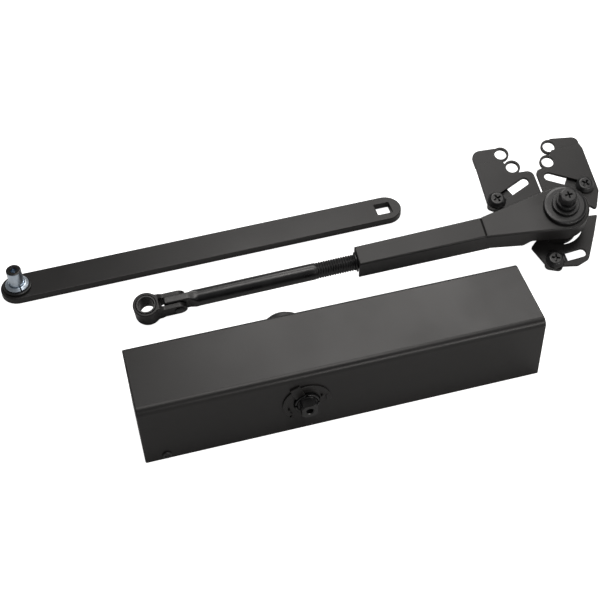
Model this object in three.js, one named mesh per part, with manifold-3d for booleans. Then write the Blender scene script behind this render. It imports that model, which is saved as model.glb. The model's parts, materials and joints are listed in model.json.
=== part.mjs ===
// Surface-mounted door closer with its two arms, laid out as it comes out of its box.
// Millimetres, +Z up. The origin is the middle of the closer's back face, which goes
// against the door. The closer's cylinder runs along X, and its spindle along Y.

import * as THREE from 'three';
import { mergeVertices } from 'three/addons/utils/BufferGeometryUtils.js';
import Module from 'manifold-3d';

const wasm = await Module();
wasm.setup();

// ---- Driving dimensions ----------------------------------------------------------

const gap = 0.3;               // clearance between separate pieces
const over = 5;                // how far a cutting tool runs past the face it cuts

// Cover
const coverLength = 311;
const coverWall = 1.6;
const coverSideSpace = 3.4;    // from the housing's side to the inside of the cover
const coverTopSpace = 2.15;
const coverNearRadius = 6;     // rounded long edge on the front side
const coverFarRadius = 3.5;    // rounded long edge on the rear side
const coverScrewInset = 16.6;  // from the cover's end
const coverScrewHeight = 4.8;
const coverScrewRadius = 2;
const coverScrewHead = 3.6;
const coverScrewHeadHeight = 1.2;
const coverScrewReach = 6;

// Part ring around the spindle hole in the cover's front face
const guardInner = 15;
const guardOuter = 18.5;
const guardHeight = 1.2;
const guardFrom = -6;          // degrees
const guardTo = 221;           // degrees
const guardBlock = [8, 12, 1.6];
const guardBlockTurn = 20;     // degrees
const guardBlockRadius = 14.9; // from the spindle's axis
const guardBlockAngle = 117;   // degrees
const pegRadius = 1;
const pegs = [[13.7, -2.3], [16.8, -6.2], [201, -3.8], [228, 0]];  // angle, offset from guardOuter

// Cylinder line
const boreRadius = 20;
const housingWall = 6.5;       // thinnest wall around the bore
const housingRaise = 1.25;     // from the mounting plate to the housing
const housingCorner = 5;
const housingFrom = -105;
const housingTo = 125;
const plugLength = 13;
const earLength = 14;
const earHalfWidth = 22;
const earTop = 10;
const bodyScrewSpread = 15;    // from the middle, along Y
const bodyScrewRadius = 2.5;
const bodyScrewHead = 4.4;
const bodyScrewHeadHeight = 3.6;

// Spindle line
const spindleX = -31;
const crossBore = 11;
const bossRadius = 15;
const bossSpace = 0.4;         // from a boss to the inside of the cover
const spindleSquare = 12;      // across the flats
const journalRadius = 7.6;
const spindleProud = 10;       // past the cover
const squareLength = 7.2;
const spindleHole = 2.7;
const spindleHoleDepth = 12;
const bearingLength = 3.5;
const sealLength = 1.8;
const nutNoseRadius = 9.5;
const nutNoseProud = 2.5;      // past the cover
const nutNotchWidth = 2.4;
const nutNotchDepth = 1.4;
const coverHoleClearance = 0.8;

// Rack and pinion
const teeth = 10;
const toothModule = 1.8;
const toothAddendum = 1.6;
const rackAddendum = 1.4;
const toothDedendum = 1.8;
const toothHalfFace = 11;
const toothPitchHalf = 1.0;    // half a pinion tooth at the pitch circle
const toothTipHalf = 0.5;
const rackPitchHalf = 1.1;
const rackTipHalf = 0.6;
const spindleTravel = 180;     // degrees

// Piston, spring and power adjuster
const pistonClearance = 0.4;
const pistonEndWall = 16;      // solid head at each end of the window
const windowHalfLength = 12.3; // from the spindle to the window's near end, at rest
const checkValveRadius = 3;
const checkValveLength = 7;
const springOuter = 17.5;
const springWire = 4.5;
const springTurns = 9;
const seatThickness = 5;
const seatFrom = 104.3;
const powerScrewRadius = 4;
const powerScrewHead = 6;
const powerScrewHeadLength = 5;

// Valves on the housing's top
const valveRadius = 2.7;
const valveOffset = 14;        // from the middle, along Y
const valvePlaces = { sweep_valve: -60, latch_valve: 10, backcheck_valve: 60 };
const valveDepth = 8;
const valveProud = 1.4;

// Mounting plate
const plateEndSpace = 9.5;     // from the plate's end to the cover's end
const plateHalfWidth = 24;
const plateThickness = 2.5;
const plateHole = 3.2;
const plateHoleInset = [8, 16];
const tabWidth = 12;
const tabThickness = 2.5;
const tabTop = 9.5;

// Cap over the rear spindle end
const capBaseRadius = 20.5;
const capBaseHeight = 3;
const capShoulderRadius = 19;
const capTaperRadius = 18;
const capTaperHeight = 12;
const capTopRadius = 12.5;
const capHeight = 17.5;
const capSocketDepth = 11.2;

// Main arm
const armReach = 322.4;        // between the centres of its round ends
const armWidth = 28.6;
const armThickness = 6.5;
const armSquareClearance = 0.9;
const armSquareInset = 1.6;
const armStudPlace = [-227.4, 170.6];
const armTurn = 0.71;          // degrees
const studRadius = 6.25;
const studShank = 5;
const studTop = 26.6;
const studHole = 2.7;
const studHoleDepth = 12;
const washerBrim = 5.5;        // how far it stands out past the stud
const washerThickness = 2;
const flangeBrim = 3.55;
const flangeTopBrim = 1.35;
const flangeThickness = 2.4;

// Forearm: its own frame has u along the rod, v across it and w up, out of the pivot
const forearmPlace = [-127.71, 110.2, 11.6];
const forearmYaw = -2.309;     // degrees
const forearmPitch = 3.625;    // degrees
const forearmRoll = 17;        // degrees
const eyeWall = 2.5;
const eyeHeight = 17.5;
const eyeBushWall = 1.5;
const eyeClearance = 0.25;     // from the main arm's stud to the bushing
const cheekInner = 3.8;
const cheekOuter = 7.3;
const cheekHalfHeight = 6.6;
const cheekEndSpace = 1.4;     // past a cheek's round end, for it to swing
const knuckleSpace = 3.4;      // from the eye to the tongue
const rivetRadius = 2.8;
const rivetHead = 3.9;
const rivetHeadHeight = 1.5;
const tongueReach = 11.5;      // from the rivet to the tongue's tip
const tongueHalfHeight = 8.6;
const tongueCorner = 1.5;
const tongueNeck = 7;          // from the rivet to where it starts to narrow
const tongueHalf = 3.4;
const tongueBlendLength = 10.3; // from the rivet to where the rod is round
const rodRadius = 6.95;
const rodEnd = 240;
const mouthU = 176;
const rodSideSpace = 0.35;     // from the rod to the inside of the tube
const creaseSpread = 0.75;     // how much wider the tube is there, each side
const tubeTop = 11.2;
const tubeSkirt = 11.2;
const tubeWall = 1.5;
const creaseU = 283.8;
const creaseHalf = 0.7;
const creaseDepth = 0.5;
const taperU = 286;
const taperSpread = 1.2;
const taperTop = 14.5;
const taperSkirt = 9;
const notchU = 322;
const notchSkirt = 2;
const pivotU = 353;
const tubeEndRadius = 20.8;
const endWasherBrim = 1.35;    // how far it stands out past the rod
const endWasherThickness = 1;
const tubeNutFrom = 182;
const tubeNutLength = 22;
const tubeNutLow = 3.5;

// Pivot stack, heights along w
const boltShank = 5.5;
const pivotWasherRadius = 17.6;
const pivotWasherThickness = 4;
const collarRadius = 11.3;
const collarThickness = 2.9;
const lockWasherRadius = 8.5;
const lockWasherThickness = 5.2;
const hexFlats = 12.7;
const hexHeight = 7.2;
const bushRadius = 9.5;

// Shoe
const shoeTop = -14;           // top of the slotted plates
const shoePlateThickness = 3;
const shoeBaseThickness = 4;
const shoeHubRadius = 16;
const shoeArmWidth = 13;
const shoePadWidth = 15;
const shoePadInner = 9.75;      // from the screw towards the pivot
const shoePadOuter = 6.5;
const shoePadCorner = 4;
const shoeTabHalf = 4.8;       // of the tab that runs under each slot
const shoeTabReach = { left: 16, right: 16.5, lower: 11 };  // from the screw
const slotHalf = 3.9;
const screwShank = 3.4;
const screwHead = 7.8;
const screwHeadHeight = 4.2;
const screwPlaces = { left: [-44, 34.2], right: [33.4, 29.9], lower: [-13.9, -32] };
const slotEnds = { left: [-15.6, 46.3], right: [6.5, 46.2], lower: [9.6, -30.7] };
const fixingHole = 5.25;
const fixingLobe = 7.1;
const jogDepth = 1.5;          // how far the plates' tips are set down
const hubClearance = 30;       // hollow of the two upper plates around the pivot
const lowerHubClearance = 19.8;

// ---- Worked-out sizes ------------------------------------------------------------

const housingHalf = boreRadius + housingWall;
const axisHeight = plateThickness + housingRaise + housingHalf;
const halfLength = coverLength / 2;
const halfWidth = housingHalf + coverSideSpace + coverWall;
const coverHeight = axisHeight + housingHalf + coverTopSpace + coverWall;
const bossReach = halfWidth - coverWall - bossSpace;
const spindleHalf = halfWidth + spindleProud;
const bearingFrom = boreRadius + gap;
const sealFrom = bearingFrom + bearingLength + gap;
const nutFrom = sealFrom + sealLength + gap;
const nutNoseReach = halfWidth + nutNoseProud;
const coverSpindleHole = nutNoseRadius + coverHoleClearance;
const plateHalfLength = halfLength - plateEndSpace;
const armSquare = spindleSquare + armSquareClearance;
const washerRadius = studRadius + washerBrim;
const flangeRadius = studRadius + flangeBrim;
const flangeTopRadius = studRadius + flangeTopBrim;
const eyeBushBore = studRadius + eyeClearance;
const eyeBushRadius = eyeBushBore + eyeBushWall;
const eyeRadius = eyeBushRadius + gap + eyeWall;
const rivetU = eyeRadius + knuckleSpace + tongueReach;
const tongueBlend = rivetU + tongueBlendLength;
const tubeHalfWidth = rodRadius + rodSideSpace + tubeWall;
const tubeHalfWidthAtCrease = tubeHalfWidth + creaseSpread;
const taperHalfWidth = tubeHalfWidth + taperSpread;
const endWasherRadius = rodRadius + endWasherBrim;
const pitchRadius = teeth * toothModule / 2;
const rackTravel = pitchRadius * THREE.MathUtils.degToRad(spindleTravel);
const pistonRadius = boreRadius - pistonClearance;
const windowTo = spindleX + windowHalfLength;
const windowFrom = spindleX - windowHalfLength - rackTravel;
const pistonFrom = windowFrom - pistonEndWall;
const pistonTo = windowTo + pistonEndWall;
const housingLow = axisHeight - housingHalf;
const housingTop = axisHeight + housingHalf;
const earLow = plateThickness + gap;
const bodyScrewX = [housingFrom - earLength / 2, housingTo + earLength / 2];
const coverScrewX = halfLength - coverScrewInset;
const baseTop = shoeTop - shoePlateThickness - gap;
const baseLow = baseTop - shoeBaseThickness;

// ---- Geometry helpers ------------------------------------------------------------

const V = (x, y) => new THREE.Vector2(x, y);
const radians = THREE.MathUtils.degToRad;

// A closed solid from a three.js geometry, with its faces pointing out.
function toSolid(geometry) {
  const bare = geometry.clone();
  bare.deleteAttribute('normal');
  bare.deleteAttribute('uv');
  const merged = mergeVertices(bare, 1e-4);
  const points = merged.getAttribute('position').array;
  const source = merged.getIndex().array;
  const corners = [];
  let volume = 0;
  const a = new THREE.Vector3();
  const b = new THREE.Vector3();
  const c = new THREE.Vector3();
  for (let i = 0; i < source.length; i += 3) {
    const [p, q, r] = [source[i], source[i + 1], source[i + 2]];
    if (p === q || q === r || r === p) continue;
    corners.push(p, q, r);
    a.fromArray(points, 3 * p);
    b.fromArray(points, 3 * q);
    c.fromArray(points, 3 * r);
    volume += a.dot(b.cross(c));
  }
  if (volume < 0) corners.reverse();
  return new wasm.Manifold(new wasm.Mesh({
    numProp: 3,
    vertProperties: new Float32Array(points),
    triVerts: new Uint32Array(corners),
  }));
}

function toGeometry(solid) {
  const { vertProperties, triVerts } = solid.getMesh();
  const geometry = new THREE.BufferGeometry();
  geometry.setAttribute('position', new THREE.BufferAttribute(vertProperties, 3));
  geometry.setIndex(new THREE.BufferAttribute(triVerts, 1));
  return geometry;
}

const join = (first, ...rest) =>
  toGeometry(rest.reduce((sum, next) => sum.add(toSolid(next)), toSolid(first)));
const cut = (first, ...rest) =>
  toGeometry(rest.reduce((sum, next) => sum.subtract(toSolid(next)), toSolid(first)));
const common = (first, ...rest) =>
  toGeometry(rest.reduce((sum, next) => sum.intersect(toSolid(next)), toSolid(first)));

// A flat outline given thickness between two heights.
function slab(shape, low, high, curveSegments = 8) {
  const options = { depth: high - low, bevelEnabled: false, curveSegments };
  return new THREE.ExtrudeGeometry(shape, options).translate(0, 0, low);
}

function box(x0, x1, y0, y1, z0, z1) {
  const geometry = new THREE.BoxGeometry(x1 - x0, y1 - y0, z1 - z0);
  return geometry.translate((x0 + x1) / 2, (y0 + y1) / 2, (z0 + z1) / 2);
}

// A round bar along Z.
function bar(radius, low, high, [x, y] = [0, 0], sides = 20, topRadius = radius) {
  const geometry = new THREE.CylinderGeometry(topRadius, radius, high - low, sides);
  return geometry.rotateX(Math.PI / 2).translate(x, y, (low + high) / 2);
}

function ring(outer, inner, low, high, sides = 20) {
  return cut(bar(outer, low, high, [0, 0], sides), bar(inner, low - over, high + over, [0, 0], sides));
}

// A body of revolution about Z, from [radius, height] points.
function turned(profile, sides = 24) {
  const geometry = new THREE.LatheGeometry(profile.map(([r, h]) => V(r, h)), sides);
  return geometry.rotateX(Math.PI / 2);
}

// Turn a geometry made along Z to lie along another axis. The outline's own X and Y
// become Y and Z for alongX, and Z and X for alongY.
const basis = (x, y, z) =>
  new THREE.Matrix4().makeBasis(new THREE.Vector3(...x), new THREE.Vector3(...y), new THREE.Vector3(...z));
const alongX = (geometry) => geometry.applyMatrix4(basis([0, 1, 0], [0, 0, 1], [1, 0, 0]));
const alongY = (geometry) => geometry.applyMatrix4(basis([0, 0, 1], [1, 0, 0], [0, 1, 0]));
// Outline X stays X, outline Y becomes Z, and the thickness grows towards -Y.
const facingFront = (geometry) => geometry.applyMatrix4(basis([1, 0, 0], [0, 0, 1], [0, -1, 0]));

function rectangle(x0, x1, y0, y1) {
  return new THREE.Shape([V(x0, y0), V(x1, y0), V(x1, y1), V(x0, y1)]);
}

function roundedRectangle(x0, x1, y0, y1, r) {
  const shape = new THREE.Shape();
  shape.moveTo(x0 + r, y0).lineTo(x1 - r, y0).absarc(x1 - r, y0 + r, r, -Math.PI / 2, 0);
  shape.lineTo(x1, y1 - r).absarc(x1 - r, y1 - r, r, 0, Math.PI / 2);
  shape.lineTo(x0 + r, y1).absarc(x0 + r, y1 - r, r, Math.PI / 2, Math.PI);
  shape.lineTo(x0, y0 + r).absarc(x0 + r, y0 + r, r, Math.PI, 1.5 * Math.PI);
  return shape;
}

// A round-ended outline between two centres.
function stadium([x0, y0], [x1, y1], r) {
  const angle = Math.atan2(y1 - y0, x1 - x0);
  const shape = new THREE.Shape();
  shape.absarc(x1, y1, r, angle - Math.PI / 2, angle + Math.PI / 2);
  shape.absarc(x0, y0, r, angle + Math.PI / 2, angle + 1.5 * Math.PI);
  return shape;
}

// A regular polygon by its radius over the corners, turned by part of a side.
function polygon(radius, sides, turn = 0) {
  const points = [];
  for (let i = 0; i < sides; i += 1) {
    const angle = (i + turn) * 2 * Math.PI / sides;
    points.push(V(radius * Math.cos(angle), radius * Math.sin(angle)));
  }
  return new THREE.Shape(points);
}

// A regular prism's outline by its width across the flats.
const flats = (width, sides) => polygon(width / 2 / Math.cos(Math.PI / sides), sides, 0.5);

// The point where a line from (x, y) touches a circle, on the circle's left side as
// seen from the point when side is 1, and on its right when side is -1.
function tangent([x, y], [cx, cy], r, side) {
  const away = Math.atan2(y - cy, x - cx);
  const turn = Math.acos(r / Math.hypot(x - cx, y - cy));
  const angle = away - side * turn;
  return [cx + r * Math.cos(angle), cy + r * Math.sin(angle), angle];
}

// A cross-shaped driving recess cut down from a height.
function crossRecess(size, width, top, depth, at = [0, 0]) {
  const [x, y] = at;
  const half = size / 2;
  return join(
    box(x - half, x + half, y - width / 2, y + width / 2, top - depth, top + over),
    box(x - width / 2, x + width / 2, y - half, y + half, top - depth, top + over),
  );
}

// ---- Materials -------------------------------------------------------------------

function material(color, roughness, metalness) {
  return new THREE.MeshStandardMaterial({ color, roughness, metalness });
}

const blackCoat = material(0x1b1b1c, 0.42, 0.2);
const blackSteel = material(0x161617, 0.38, 0.6);
const zinc = material(0xaab4bd, 0.3, 1);
const castIron = material(0x4a4b4d, 0.6, 0.8);
const steel = material(0x9a9b9c, 0.35, 1);
const springSteel = material(0x3c3f44, 0.4, 1);
const brass = material(0xb9924a, 0.35, 1);
const rubber = material(0x101010, 0.85, 0);
const blackPlastic = material(0x171717, 0.55, 0);

const root = new THREE.Group();

function add(group, name, geometry, finish) {
  const mesh = new THREE.Mesh(geometry, finish);
  mesh.name = name;
  group.add(mesh);
  return mesh;
}

// ---- Cover and its screws --------------------------------------------------------

// The cover's section across the closer: X is across, Y is up, the back is open.
function coverSection(inset) {
  const near = coverNearRadius - inset;
  const far = coverFarRadius - inset;
  const side = halfWidth - inset;
  const top = coverHeight - inset;
  const low = inset > 0 ? -over : 0;
  const shape = new THREE.Shape();
  shape.moveTo(-side, low).lineTo(side, low).lineTo(side, top - far);
  shape.absarc(side - far, top - far, far, 0, Math.PI / 2);
  shape.lineTo(near - side, top).absarc(near - side, top - near, near, Math.PI / 2, Math.PI);
  return shape;
}

function guardShapes() {
  const arc = new THREE.Shape();
  arc.absarc(0, 0, guardOuter, radians(guardFrom), radians(guardTo));
  arc.absarc(0, 0, guardInner, radians(guardTo), radians(guardFrom), true);
  const [width, height, proud] = guardBlock;
  const sunk = -coverWall / 2;
  const block = slab(roundedRectangle(-width / 2, width / 2, -height / 2, height / 2, 1), sunk, proud);
  block.rotateZ(radians(guardBlockTurn));
  const at = radians(guardBlockAngle);
  block.translate(guardBlockRadius * Math.cos(at), guardBlockRadius * Math.sin(at), 0);
  const pieces = [slab(arc, sunk, guardHeight, 14), block];
  for (const [degrees, offset] of pegs) {
    const reach = guardOuter + offset;
    const place = [reach * Math.cos(radians(degrees)), reach * Math.sin(radians(degrees))];
    pieces.push(bar(pegRadius, sunk, proud, place, 10));
  }
  return join(...pieces);
}

{
  const shell = alongX(slab(coverSection(0), -halfLength, halfLength, 5));
  const hollow = alongX(slab(coverSection(coverWall), coverWall - halfLength, halfLength - coverWall, 5));
  const guard = facingFront(guardShapes()).translate(spindleX, -halfWidth, axisHeight);
  const spindle = alongY(bar(coverSpindleHole, -halfWidth - over, halfWidth + over));
  spindle.translate(spindleX, 0, axisHeight);
  const screwHole = (side) => {
    const hole = alongY(bar(coverScrewRadius + gap, -over, over, [0, 0], 12));
    return hole.translate(side * coverScrewX, side * halfWidth, coverScrewHeight);
  };
  const cover = cut(join(shell, guard), hollow, spindle, screwHole(-1), screwHole(1));
  add(root, 'cover', cover, blackCoat);

  for (const [name, side] of [['cover_screw_front', -1], ['cover_screw_rear', 1]]) {
    const face = halfWidth + gap;
    const head = bar(coverScrewHead, face, face + coverScrewHeadHeight, [0, 0], 20, coverScrewHead * 0.8);
    const shank = bar(coverScrewRadius, halfWidth - coverScrewReach, face + 0.2, [0, 0], 12);
    const top = face + coverScrewHeadHeight;
    const screw = cut(join(head, shank), crossRecess(4, 1, top, 0.8));
    const mesh = add(root, name, screw, blackSteel);
    mesh.rotation.x = -side * Math.PI / 2;
    mesh.position.set(side * coverScrewX, 0, coverScrewHeight);
  }
}

// ---- Mounting plate and the four body screws --------------------------------------

{
  const tabFace = halfWidth - coverWall - gap;
  const pieces = [box(-plateHalfLength, plateHalfLength, -plateHalfWidth, plateHalfWidth, 0, plateThickness)];
  const holes = [];
  for (const side of [-1, 1]) {
    const x = side * coverScrewX;
    const [near, far] = side < 0 ? [-tabFace, -plateHalfWidth + 1] : [plateHalfWidth - 1, tabFace];
    const inner = side < 0 ? -tabFace + tabThickness : tabFace;
    pieces.push(box(x - tabWidth / 2, x + tabWidth / 2, near, far, 0, plateThickness));
    pieces.push(box(x - tabWidth / 2, x + tabWidth / 2, inner - tabThickness, inner, 0, tabTop));
    const tapped = alongY(bar(coverScrewRadius + gap, -over, over, [0, 0], 12));
    holes.push(tapped.translate(x, side * tabFace, coverScrewHeight));
    for (const end of [-1, 1]) {
      const place = [end * (plateHalfLength - plateHoleInset[0]), side * (plateHalfWidth - plateHoleInset[1])];
      holes.push(bar(plateHole, -over, plateThickness + over, place, 12));
    }
    for (const screwX of bodyScrewX) {
      const place = [screwX, side * bodyScrewSpread];
      holes.push(bar(bodyScrewRadius + gap, -over, plateThickness + over, place, 12));
    }
  }
  add(root, 'mounting_plate', cut(join(...pieces), ...holes), castIron);

  const headLow = earTop + gap;
  const headTop = headLow + bodyScrewHeadHeight;
  const screw = cut(
    join(bar(bodyScrewHead, headLow, headTop, [0, 0], 14), bar(bodyScrewRadius, gap, headLow + 0.2, [0, 0], 12)),
    slab(flats(4, 6), headTop - 2, headTop + over),
  );
  let number = 0;
  for (const screwX of bodyScrewX) {
    for (const side of [-1, 1]) {
      number += 1;
      const mesh = add(root, `body_screw_${number}`, screw.clone(), blackSteel);
      mesh.position.set(screwX, side * bodyScrewSpread, 0);
    }
  }
}

// ---- Housing and its end plugs ----------------------------------------------------

const plugBodyRadius = boreRadius - gap;
const powerBore = powerScrewRadius + gap;

{
  const section = roundedRectangle(-housingHalf, housingHalf, housingLow, housingTop, housingCorner);
  const block = alongX(slab(section, housingFrom, housingTo, 6));
  const ears = box(
    housingFrom - earLength, housingTo + earLength, -earHalfWidth, earHalfWidth, earLow, earTop,
  );
  const boss = alongY(bar(bossRadius, -bossReach, bossReach)).translate(spindleX, 0, axisHeight);
  // The bore runs on past the block, so the ears stop clear of the end plugs.
  const bore = alongX(bar(boreRadius, -halfLength, halfLength, [0, 0], 28)).translate(0, 0, axisHeight);
  const cross = alongY(bar(crossBore, -bossReach - over, bossReach + over));
  cross.translate(spindleX, 0, axisHeight);
  const cuts = [bore, cross];
  for (const x of Object.values(valvePlaces)) {
    const low = housingTop - valveDepth - gap;
    cuts.push(bar(valveRadius + gap, low, housingTop + over, [x, valveOffset], 14));
  }
  for (const screwX of bodyScrewX) {
    for (const side of [-1, 1]) {
      cuts.push(bar(bodyScrewRadius + gap, -over, earTop + over, [screwX, side * bodyScrewSpread], 12));
    }
  }
  add(root, 'housing', cut(join(block, ears, boss), ...cuts), castIron);
}

const cylinderLine = new THREE.Group();
cylinderLine.position.z = axisHeight;
cylinderLine.rotation.y = Math.PI / 2;
root.add(cylinderLine);

{
  const slot = box(-boreRadius, boreRadius, -1.5, 1.5, housingFrom - over, housingFrom + 2);
  const plug = cut(bar(plugBodyRadius, housingFrom, housingFrom + plugLength, [0, 0], 28), slot);
  add(cylinderLine, 'spindle_end_plug', plug, steel);

  const low = housingTo - plugLength;
  const headLow = housingTo - powerScrewHeadLength;
  const spring = cut(
    bar(plugBodyRadius, low, housingTo, [0, 0], 28),
    bar(powerBore, low - over, housingTo + over, [0, 0], 20),
    bar(powerScrewHead + gap, headLow - gap, housingTo + over, [0, 0], 20),
  );
  add(cylinderLine, 'spring_end_plug', spring, steel);
}

// ---- Piston, check valve, spring, seat and power screw -----------------------------

{
  const rackRoot = pitchRadius + toothDedendum;
  const windowLow = -(pitchRadius + toothAddendum + 2);
  // Rack outline: X is along the cylinder, Y is up.
  const window = new THREE.Shape();
  window.moveTo(windowFrom, windowLow).lineTo(windowTo, windowLow).lineTo(windowTo, rackRoot);
  const toothPitch = Math.PI * toothModule;
  const rootHalf = rackPitchHalf + (rackPitchHalf - rackTipHalf) * toothDedendum / rackAddendum;
  const count = Math.ceil((windowTo - windowFrom) / toothPitch);
  for (let i = -1; i < count; i += 1) {
    const centre = spindleX + toothPitch / 2 - i * toothPitch;
    const inside = centre + rootHalf < windowTo && centre - rootHalf > windowFrom;
    if (!inside) continue;
    window.lineTo(centre + rootHalf, rackRoot).lineTo(centre + rackTipHalf, pitchRadius - rackAddendum);
    window.lineTo(centre - rackTipHalf, pitchRadius - rackAddendum).lineTo(centre - rootHalf, rackRoot);
  }
  window.lineTo(windowFrom, rackRoot);
  const opening = facingFront(slab(window, -boreRadius - over, boreRadius + over));
  const body = alongX(bar(pistonRadius, pistonFrom, pistonTo, [0, 0], 28));
  const valveBore = alongX(bar(checkValveRadius + gap, pistonFrom - over, pistonFrom + checkValveLength + gap));
  const passage = alongX(bar(checkValveRadius / 2, pistonFrom, windowFrom + over, [0, 0], 12));
  const piston = add(root, 'piston', cut(body, opening, valveBore, passage), castIron);
  piston.position.z = axisHeight;

  const valve = ring(checkValveRadius, 1.2, pistonFrom, pistonFrom + checkValveLength, 20);
  add(cylinderLine, 'piston_check_valve', valve, brass);
}

{
  const springFrom = pistonTo + gap;
  const springLength = seatFrom - gap - springFrom;
  const mean = springOuter - springWire / 2;
  const rise = springLength - springWire - 1;
  class Helix extends THREE.Curve {
    getPoint(t) {
      const angle = 2 * Math.PI * springTurns * t;
      const z = springFrom + (springLength - rise) / 2 + rise * t;
      return new THREE.Vector3(mean * Math.cos(angle), mean * Math.sin(angle), z);
    }
  }
  const options = { steps: springTurns * 9, bevelEnabled: false, extrudePath: new Helix() };
  const spring = toGeometry(toSolid(new THREE.ExtrudeGeometry(polygon(springWire / 2, 6), options)));
  add(cylinderLine, 'main_spring', spring, springSteel);

  const seat = ring(plugBodyRadius, powerBore, seatFrom, seatFrom + seatThickness, 28);
  add(cylinderLine, 'spring_seat', seat, steel);

  const headLow = housingTo - powerScrewHeadLength;
  const hexDepth = 3;
  const screw = cut(
    join(bar(powerScrewHead, headLow, housingTo, [0, 0], 20), bar(powerScrewRadius, seatFrom - 22, headLow + 1)),
    slab(flats(5, 6), housingTo - hexDepth, housingTo + over),
  );
  add(cylinderLine, 'power_screw', screw, steel);
}

// ---- Regulating valves -------------------------------------------------------------

{
  const low = housingTop - valveDepth;
  const top = housingTop + valveProud;
  for (const [name, x] of Object.entries(valvePlaces)) {
    const slot = box(-valveRadius - 1, valveRadius + 1, -0.4, 0.4, top - 1.2, top + over);
    const valve = add(root, name, cut(bar(valveRadius, low, top, [0, 0], 14), slot), brass);
    valve.position.set(x, valveOffset, 0);
  }
}

// ---- Spindle line: pinion, bearings, seals, packing nuts and cap --------------------

// Here Z runs along the spindle towards the rear, so the front end is at -Z.
const spindleLine = new THREE.Group();
spindleLine.position.set(spindleX, 0, axisHeight);
spindleLine.rotation.x = -Math.PI / 2;
root.add(spindleLine);

{
  const outline = [];
  const rootRadius = pitchRadius - toothDedendum;
  const tipRadius = pitchRadius + toothAddendum;
  for (let i = 0; i < teeth; i += 1) {
    const middle = i * 2 * Math.PI / teeth + Math.PI / 2;
    const flank = [
      [rootRadius, -Math.asin((toothPitchHalf + 0.2) / rootRadius)],
      [pitchRadius, -Math.asin(toothPitchHalf / pitchRadius)],
      [tipRadius, -Math.asin(toothTipHalf / tipRadius)],
    ];
    const around = [...flank, ...flank.map(([r, angle]) => [r, -angle]).reverse()];
    for (const [r, angle] of around) outline.push(V(r * Math.cos(middle + angle), r * Math.sin(middle + angle)));
  }
  const gear = new THREE.Shape(outline);
  const square = common(
    slab(flats(spindleSquare, 4), -spindleHalf, spindleHalf),
    bar(journalRadius, -spindleHalf - 1, spindleHalf + 1),
  );
  const journal = spindleHalf - squareLength;
  const pinion = cut(
    join(square, bar(journalRadius, -journal, journal), slab(gear, -toothHalfFace, toothHalfFace)),
    bar(spindleHole, -spindleHalf - over, -spindleHalf + spindleHoleDepth, [0, 0], 14),
  );
  add(spindleLine, 'pinion', pinion, blackSteel);
}

{
  const bore = journalRadius + gap;
  const outer = crossBore - gap;
  for (const [suffix, side] of [['front', -1], ['rear', 1]]) {
    const facing = (geometry) => (side < 0 ? geometry.rotateX(Math.PI) : geometry);
    const bearing = ring(outer, bore, bearingFrom, bearingFrom + bearingLength);
    add(spindleLine, `pinion_bearing_${suffix}`, facing(bearing), brass);
    const seal = ring(outer, bore, sealFrom, sealFrom + sealLength);
    add(spindleLine, `shaft_seal_${suffix}`, facing(seal), rubber);
    const notches = [];
    const half = nutNotchWidth / 2;
    for (const turn of [0, Math.PI / 2]) {
      const notch = box(-outer - 1, outer + 1, -half, half, nutNoseReach - nutNotchDepth, nutNoseReach + over);
      notches.push(notch.rotateZ(turn));
    }
    const nut = cut(
      join(bar(outer, nutFrom, bossReach), bar(nutNoseRadius, nutFrom, nutNoseReach)),
      bar(bore + 0.1, nutFrom - over, nutNoseReach + over),
      ...notches,
    );
    add(spindleLine, `packing_nut_${suffix}`, facing(nut), blackSteel);
  }
}

{
  const low = halfWidth + gap;
  const socket = nutNoseRadius + 0.4;
  const cap = turned([
    [0, low + capSocketDepth],
    [socket, low + capSocketDepth],
    [socket, low],
    [capBaseRadius, low],
    [capBaseRadius, low + capBaseHeight],
    [capShoulderRadius, low + capBaseHeight],
    [capTaperRadius, low + capTaperHeight],
    [capTopRadius, low + capHeight],
    [0, low + capHeight],
  ], 28);
  add(spindleLine, 'spindle_cap', toGeometry(toSolid(cap)), blackPlastic);
}

// ---- Main arm ----------------------------------------------------------------------

// Its frame starts at the stud, with X along the bar.
const mainArm = new THREE.Group();
mainArm.position.set(...armStudPlace, 0);
mainArm.rotation.z = radians(armTurn);
root.add(mainArm);

{
  const outline = stadium([0, 0], [armReach, 0], armWidth / 2);
  const half = armSquare / 2;
  const squareX = armReach - armSquareInset;
  const blade = cut(
    slab(outline, 0, armThickness, 10),
    box(squareX - half, squareX + half, -half, half, -over, armThickness + over),
    bar(studShank + gap, -over, armThickness + over, [0, 0], 20),
  );
  add(mainArm, 'main_arm_bar', blade, blackCoat);

  const washerLow = armThickness + gap;
  const washerTop = washerLow + washerThickness;
  const flangeLow = washerTop + gap;
  const flangeTop = flangeLow + flangeThickness;
  const ringBore = studRadius + gap;
  add(mainArm, 'stud_washer', ring(washerRadius, ringBore, washerLow, washerTop), blackSteel);
  const flange = cut(
    bar(flangeRadius, flangeLow, flangeTop, [0, 0], 32, flangeTopRadius),
    bar(ringBore, flangeLow - over, flangeTop + over),
  );
  add(mainArm, 'stud_flange', flange, zinc);
  const stud = cut(
    join(bar(studRadius, washerLow, studTop, [0, 0], 28), bar(studShank, gap, washerLow + 1, [0, 0], 20)),
    bar(studHole, studTop - studHoleDepth, studTop + over, [0, 0], 14),
  );
  add(mainArm, 'arm_stud', stud, zinc);
}

// ---- Forearm -------------------------------------------------------------------------

const forearm = new THREE.Group();
forearm.position.set(...forearmPlace);
forearm.rotation.set(radians(forearmRoll), -radians(forearmPitch), radians(forearmYaw), 'ZYX');
root.add(forearm);

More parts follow.
